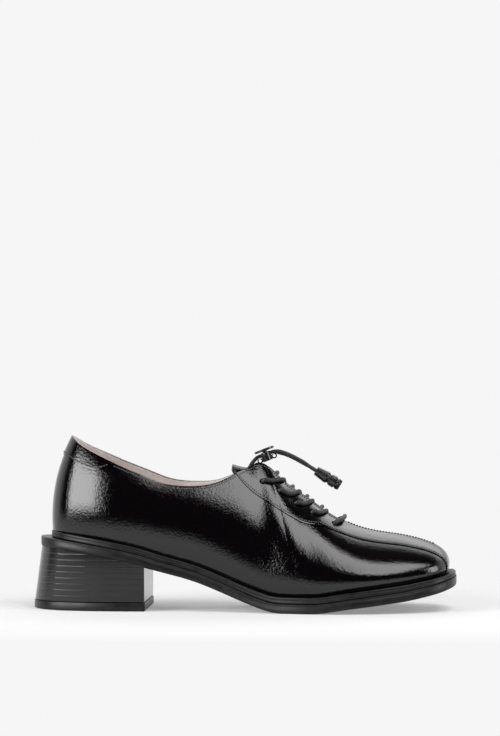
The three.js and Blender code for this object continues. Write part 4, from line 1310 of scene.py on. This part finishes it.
class SHOE_OT_laces(bpy.types.Operator):
    """Runs the elastic lace through the eyelets, crossing over the tongue from row to row"""
    bl_idname = "shoe.laces"
    bl_label = "Laces"

    def execute(self, context):
        diameter = context.scene.shoe_sizes.lace_diameter
        strands = []
        for row in range(4):
            x, y = EYELETS[row]
            for side in (-1, 1):
                far = side > 0
                along, across, lift = STRAND.values()
                reach = CROSS_REACH[row] * (FAR_REACH if far else 1)
                lift = lift - (FAR_DROP if far else 0) * np.exp(-(across / 0.3) ** 2)
                places, outs = skin_over(x + along * reach, side * across * y)
                points = to_frame(smooth_path(places + outs * lift[:, None], 44))
                strands.append(as_mesh(cord_curve("strand", points, diameter)))
        x, y = EYELETS[4]
        ahead, across, lift = BAR.values()
        halves = []
        for side in (-1, 1):
            places, outs = skin_over(x + ahead, side * across * y)
            halves.append(places + outs * lift[:, None])
        bar = np.concatenate([halves[0], halves[1][:-1][::-1]])
        strands.append(as_mesh(cord_curve("bar", to_frame(smooth_path(bar, 60)), diameter)))
        lace = joined("lace", strands)
        finish(lace, SHOE, [material("elastic")], 60, [
            "lace_cross_1", "lace_cross_2", "lace_cross_3", "lace_cross_4", "lace_bar"])
        return {"FINISHED"}


# Cord lock and cord end

# Where the lock and the cord end stand in the last's axes, and how far they are turned.
LOCK_PLACE = (144.5524, 0.0, 93.2434)
LOCK_TILT = math.radians(21)
END_PLACE = (174.8024, 0.0, 87.0434)
END_TURN = math.radians(122)


def turned(piece, place, turn):
    """Turns a piece that is drawn upright at the origin, and moves it to its place."""
    select_only(piece)
    move = Matrix.Translation(Vector(to_frame(np.array(place))))
    piece.matrix_world = move @ Matrix.Rotation(turn, 4, "Y") @ piece.matrix_world
    bpy.ops.object.transform_apply(location=True, rotation=True, scale=True)


def drum(name, radius, low, high, vertices=48, wide=1.0, edge=0.0):
    """An upright cylinder between two heights in millimetres, with rounded edges."""
    bpy.ops.object.select_all(action="DESELECT")
    bpy.ops.mesh.primitive_cylinder_add(
        vertices=vertices, radius=radius * MM, depth=(high - low) * MM,
        location=(0, 0, (low + high) / 2 * MM))
    piece = bpy.context.object
    piece.name = name
    piece.scale.y = wide
    bpy.ops.object.transform_apply(location=True, rotation=True, scale=True)
    if edge:
        apply_modifier(
            piece, "BEVEL", width=edge * MM, segments=3, limit_method="ANGLE",
            angle_limit=math.radians(50))
    return piece


def block(sizes, height):
    """A box of the given sizes with its middle at a height, in millimetres."""
    bpy.ops.object.select_all(action="DESELECT")
    bpy.ops.mesh.primitive_cube_add(size=MM, location=(0, 0, height * MM))
    piece = bpy.context.object
    piece.scale = sizes
    bpy.ops.object.transform_apply(location=True, rotation=True, scale=True)
    return piece


def cut(piece, tool):
    apply_modifier(piece, "BOOLEAN", operation="DIFFERENCE", object=tool, solver="EXACT")
    bpy.data.objects.remove(tool)


def merge_solid(piece, tool):
    apply_modifier(piece, "BOOLEAN", operation="UNION", object=tool, solver="EXACT")
    bpy.data.objects.remove(tool)


def lug(end, radius, thick):
    bpy.ops.object.select_all(action="DESELECT")
    bpy.ops.mesh.primitive_cylinder_add(
        vertices=32, radius=radius * MM, depth=thick * MM,
        location=(end * 4.75 * MM, 0, 1.62 * MM), rotation=(math.pi / 2, 0, 0))
    return bpy.context.object


class SHOE_OT_lock(bpy.types.Operator):
    """Models the cord lock: an oval barrel with two lugs, and the sprung button on top"""
    bl_idname = "shoe.lock"
    bl_label = "Cord lock"

    def execute(self, context):
        barrel = drum("lock_barrel", 3.35, 0, 5.8, wide=10 / 6.7, edge=0.35)
        for end in (-1, 1):
            ring = lug(end, 1.8, 1.8)
            cut(ring, lug(end, 0.95, 4))
            merge_solid(barrel, ring)
        cut(barrel, drum("hollow", 2.25, 0.6, 7, wide=7.8 / 4.5))
        cut(barrel, block((20, 5.5, 2.9), 4.3))
        turned(barrel, LOCK_PLACE, -LOCK_TILT)
        finish(barrel, SHOE, [material("plastic")], 30, ["cord_lock"])

        button = drum("lock_button_head", 6.5, 6.5, 8.0, 64, edge=0.3)
        cut(button, drum("under", 5.3, 6.0, 7.0, 64))
        cut(button, drum("dish", 5.2, 7.75, 9, 64))
        stem = drum("stem", 1.95, 1.8, 7.2, wide=7.2 / 3.9)
        cut(stem, block((14, 5.5, 3.8), 4.75))
        merge_solid(button, stem)
        turned(button, LOCK_PLACE, -LOCK_TILT)
        finish(button, BUTTON, [material("plastic")], 30, ["cord_lock_button"])
        return {"FINISHED"}


class SHOE_OT_cord_end(bpy.types.Operator):
    """Models the moulded cord end: a faceted cone, a rib and a fluted tip"""
    bl_idname = "shoe.cord_end"
    bl_label = "Cord end"

    def execute(self, context):
        # Columns: radius and distance from the mouth in millimetres, and the depth of the flutes.
        rows = [
            (0.01, 2.4, 0), (2.6, 2.4, 0), (2.6, 0.25, 0), (2.75, 0.02, 0), (2.95, 0.1, 0),
            (3.9, 7.7, 0), (3.92, 8.1, 0), (3.45, 8.9, 0), (3.0, 9.6, 0), (3.05, 10.0, 0),
            (3.75, 10.7, 0), (3.85, 11.2, 0), (3.9, 13.8, 0), (3.75, 14.3, 0), (3.0, 14.8, 0),
            (3.05, 15.1, 0.1), (3.5, 15.5, 0.35), (3.5, 16.6, 0.45), (3.2, 17.7, 0.45),
            (2.6, 18.0, 0.2), (1.2, 18.0, 0), (1.1, 17.7, 0), (1.1, 16.0, 0), (0.01, 16.0, 0),
        ]
        sides = 96
        turns = np.linspace(0, 2 * math.pi, sides + 1)
        points = np.zeros((len(rows), sides + 1, 3))
        for at, (radius, along, flute) in enumerate(rows):
            facets = 12 if 0.05 < along < 14.5 and radius > 2.8 else 0
            around = np.full(sides + 1, radius)
            if facets:
                sector = 2 * math.pi / facets
                inside = np.mod(turns, sector) - sector / 2
                around = radius * math.cos(sector / 2) / np.cos(inside)
            around = around - flute * (0.5 - 0.5 * np.cos(12 * turns)) ** 0.7
            points[at] = np.stack(
                [around * np.cos(turns), around * np.sin(turns), np.full(sides + 1, along)], -1)
        end = grid_piece("cord_end_moulding", points * MM)
        weld(end, 0.00003)
        turn_outwards(end)
        turned(end, END_PLACE, END_TURN)
        finish(end, SHOE, [material("plastic")], 28, ["cord_end"])
        return {"FINISHED"}


# Stitches


def edge_line(places, side, edge, move, outset):
    """A line on the skin at a distance above or below an edge, in the last's axes."""
    ups = edge(places, side)
    step = 0.01
    here, _ = skin(places, side, ups, outset)
    beside, _ = skin(places, side, np.clip(ups + step * np.sign(move), 0, 1), outset)
    gap = np.linalg.norm(beside - here, axis=-1)
    ups = ups + step * move / np.maximum(gap, 0.05)
    return skin(places, side, np.clip(ups, 0, 1), outset)


def sew(lines, name, pitch, width):
    """One stitch copied along lines of points with their ways out, as one piece."""
    length = 0.78 * pitch
    bpy.ops.object.select_all(action="DESELECT")
    bpy.ops.mesh.primitive_uv_sphere_add(segments=8, ring_count=5, radius=0.5)
    stitch = bpy.context.object
    bead = np.array([corner.co[:] for corner in stitch.data.vertices])
    faces = [tuple(face.vertices) for face in stitch.data.polygons]
    bpy.data.objects.remove(stitch)
    corners, polygons = [], []
    for points, outs in lines:
        points = to_frame(points)
        places, ahead = resampled(points, pitch)
        for place, direction in zip(places, ahead):
            near = np.linalg.norm(points - place, axis=1).argmin()
            out = outs[near] - direction * outs[near].dot(direction)
            out = out / np.linalg.norm(out)
            across = np.cross(out, direction)
            shape = (
                bead[:, :1] * direction * length + bead[:, 1:2] * across * width
                + bead[:, 2:] * out * width * 0.8)
            start = len(corners) * len(bead)
            corners.append(shape + place + out * width * 0.12)
            polygons += [tuple(start + corner for corner in face) for face in faces]
    mesh = bpy.data.meshes.new(name)
    mesh.from_pydata(np.concatenate(corners).tolist(), [], polygons)
    piece = bpy.data.objects.new(name, mesh)
    bpy.context.collection.objects.link(piece)
    return finish(piece, SHOE, [material("thread")], 60)


def panel_edge(places, side):
    return border(places, side, in_panel)


# The section at the toe where the stitches of the panel's seam end.
PANEL_SEAM_END = 19.4


class SHOE_OT_stitches(bpy.types.Operator):
    """Sews the seams of the panel and the tab, the top line, the slot and the toe's middle line"""
    bl_idname = "shoe.stitches"
    bl_label = "Stitches"

    def execute(self, context):
        sizes = context.scene.shoe_sizes
        margin = sizes.seam_margin / MM
        raised = OVERLAY_STEP
        panel, tab, top = [], [], []
        for side in (-1, 1):
            places = np.linspace(panel_start() + 0.12, PANEL_SEAM_END, 900)
            panel.append(edge_line(places, side, panel_edge, margin, raised))
            places = np.linspace(0.02, tab_end() - 0.2, 260)
            tab.append(edge_line(
                places, side, lambda at, s: border(at, s, in_tab, 0.2), margin, raised))
            places = np.linspace(tab_end() + 0.05, panel_start() - 0.02, 400)
            top.append(edge_line(places, side, top_of_skin, -margin, 0))
            places = np.linspace(panel_start() + 0.02, slot_end_place() - 0.06, 500)
            top.append(edge_line(places, side, top_of_skin, -margin, raised))
        pitch, width = sizes.stitch_pitch, sizes.stitch_width
        sew(panel, "panel_stitches", pitch, width)
        sew(tab, "tab_stitches", pitch, width)
        sew(top, "top_stitches", pitch, width)
        places = np.linspace(slot_end_place() + 0.12, LAST - 0.02, 300)
        points, outs = skin(places, -1, np.ones_like(places), raised)
        sew([(points, outs)], "toe_stitches", 1.2 * pitch, width)
        return {"FINISHED"}


# Stage


def soft_box(name, place, aim, wide, high, power):
    data = bpy.data.lights.new(name, "AREA")
    data.shape = "RECTANGLE"
    data.size, data.size_y = wide, high
    data.energy = power
    lamp = bpy.data.objects.new(name, data)
    bpy.context.scene.collection.objects.link(lamp)
    lamp.location = place
    lamp.rotation_euler = (Vector(aim) - Vector(place)).to_track_quat("-Z", "Y").to_euler()


# Columns: place, aim, width and height in metres, and power in watts.
SOFT_BOXES = {
    "front_box": ((0.74, -1.10, 1.50), (0.74, -1.10, 0.0), 1.15, 2.0, 36),
    "left_box": ((-0.93, -0.76, 0.38), (0, 0, 0.06), 0.92, 0.76, 20),
    "back_box": ((0.10, 1.30, 1.20), (0, 0, 0.06), 2.6, 0.75, 10),
    "right_box": ((1.30, -0.25, 0.45), (0, 0, 0.05), 0.5, 0.8, 7),
}


def studio_world(settings):
    """Pale behind the shoe, as the camera sees it, and dark overhead and behind the camera."""
    world = bpy.data.worlds.new("studio")
    world.use_nodes = True
    tree = world.node_tree
    seen = tree.nodes["Background"]
    seen.inputs["Color"].default_value = (*settings.floor_colour, 1)
    direction = tree.nodes.new("ShaderNodeTexCoord")
    axes = tree.nodes.new("ShaderNodeSeparateXYZ")
    tree.links.new(direction.outputs["Generated"], axes.inputs["Vector"])
    dark, pale = grey(settings.studio_dark), grey(settings.studio_pale)
    behind = ramp(tree, axes.outputs["Y"], [(0.02, dark), (0.30, pale)])
    below = ramp(tree, axes.outputs["Z"], [(0.55, grey(1)), (0.75, grey(0.04))])
    both = tree.nodes.new("ShaderNodeMix")
    both.data_type = "RGBA"
    both.blend_type = "MULTIPLY"
    both.inputs["Factor"].default_value = 1.0
    tree.links.new(behind, both.inputs["A"])
    tree.links.new(below, both.inputs["B"])
    around = tree.nodes.new("ShaderNodeBackground")
    tree.links.new(both.outputs["Result"], around.inputs["Color"])
    path = tree.nodes.new("ShaderNodeLightPath")
    mix = tree.nodes.new("ShaderNodeMixShader")
    tree.links.new(path.outputs["Is Camera Ray"], mix.inputs["Fac"])
    tree.links.new(around.outputs["Background"], mix.inputs[1])
    tree.links.new(seen.outputs["Background"], mix.inputs[2])
    tree.links.new(mix.outputs["Shader"], tree.nodes["World Output"].inputs["Surface"])
    return world


class SHOE_OT_stage(bpy.types.Operator):
    """Lays the pale floor and hangs the soft boxes"""
    bl_idname = "shoe.stage"
    bl_label = "Stage"

    def execute(self, context):
        settings = context.scene.shoe_colours
        bpy.ops.object.select_all(action="DESELECT")
        bpy.ops.mesh.primitive_plane_add(size=1)
        floor = bpy.context.object
        floor.name = "floor"
        floor.scale = (2 * FLOOR_HALF, FLOOR_FRONT + FLOOR_BACK, 1)
        floor.location.y = (FLOOR_BACK - FLOOR_FRONT) / 2
        bpy.ops.object.transform_apply(location=True, rotation=True, scale=True)
        floor.data.materials.append(floor_material(settings))
        for name, (place, aim, wide, high, power) in SOFT_BOXES.items():
            soft_box(name, place, aim, wide, high, power)
        context.scene.world = studio_world(settings)
        context.scene.view_settings.view_transform = "Standard"
        return {"FINISHED"}


class SHOE_PT_pieces(bpy.types.Panel):
    """Lists the shoe's pieces and their sizes and colours"""
    bl_idname = "SHOE_PT_pieces"
    bl_label = "Lace-up shoe"
    bl_space_type = "VIEW_3D"
    bl_region_type = "UI"
    bl_category = "Shoe"

    def draw(self, context):
        layout = self.layout
        for operator in PIECES:
            layout.operator(operator.bl_idname)
        for settings in (context.scene.shoe_sizes, context.scene.shoe_colours):
            for name in settings.bl_rna.properties.keys():
                if name not in ("rna_type", "name"):
                    layout.prop(settings, name)


PIECES = (
    SHOE_OT_camera, SHOE_OT_cord_end, SHOE_OT_cords, SHOE_OT_upper, SHOE_OT_tongue, SHOE_OT_welt,
    SHOE_OT_outsole, SHOE_OT_heel, SHOE_OT_insole, SHOE_OT_laces, SHOE_OT_lock, SHOE_OT_stitches,
    SHOE_OT_stage,
)
CLASSES = (SHOE_PG_colours, SHOE_PG_sizes, *PIECES, SHOE_PT_pieces)


def register():
    for kind in CLASSES:
        bpy.utils.register_class(kind)
    bpy.types.Scene.shoe_colours = bpy.props.PointerProperty(type=SHOE_PG_colours)
    bpy.types.Scene.shoe_sizes = bpy.props.PointerProperty(type=SHOE_PG_sizes)


def unregister():
    del bpy.types.Scene.shoe_sizes
    del bpy.types.Scene.shoe_colours
    for kind in reversed(CLASSES):
        bpy.utils.unregister_class(kind)


def main():
    """Registers the classes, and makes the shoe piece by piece."""
    register()
    for operator in PIECES:
        getattr(bpy.ops.shoe, operator.bl_idname.split(".")[1])()


if __name__ == "__main__":
    main()
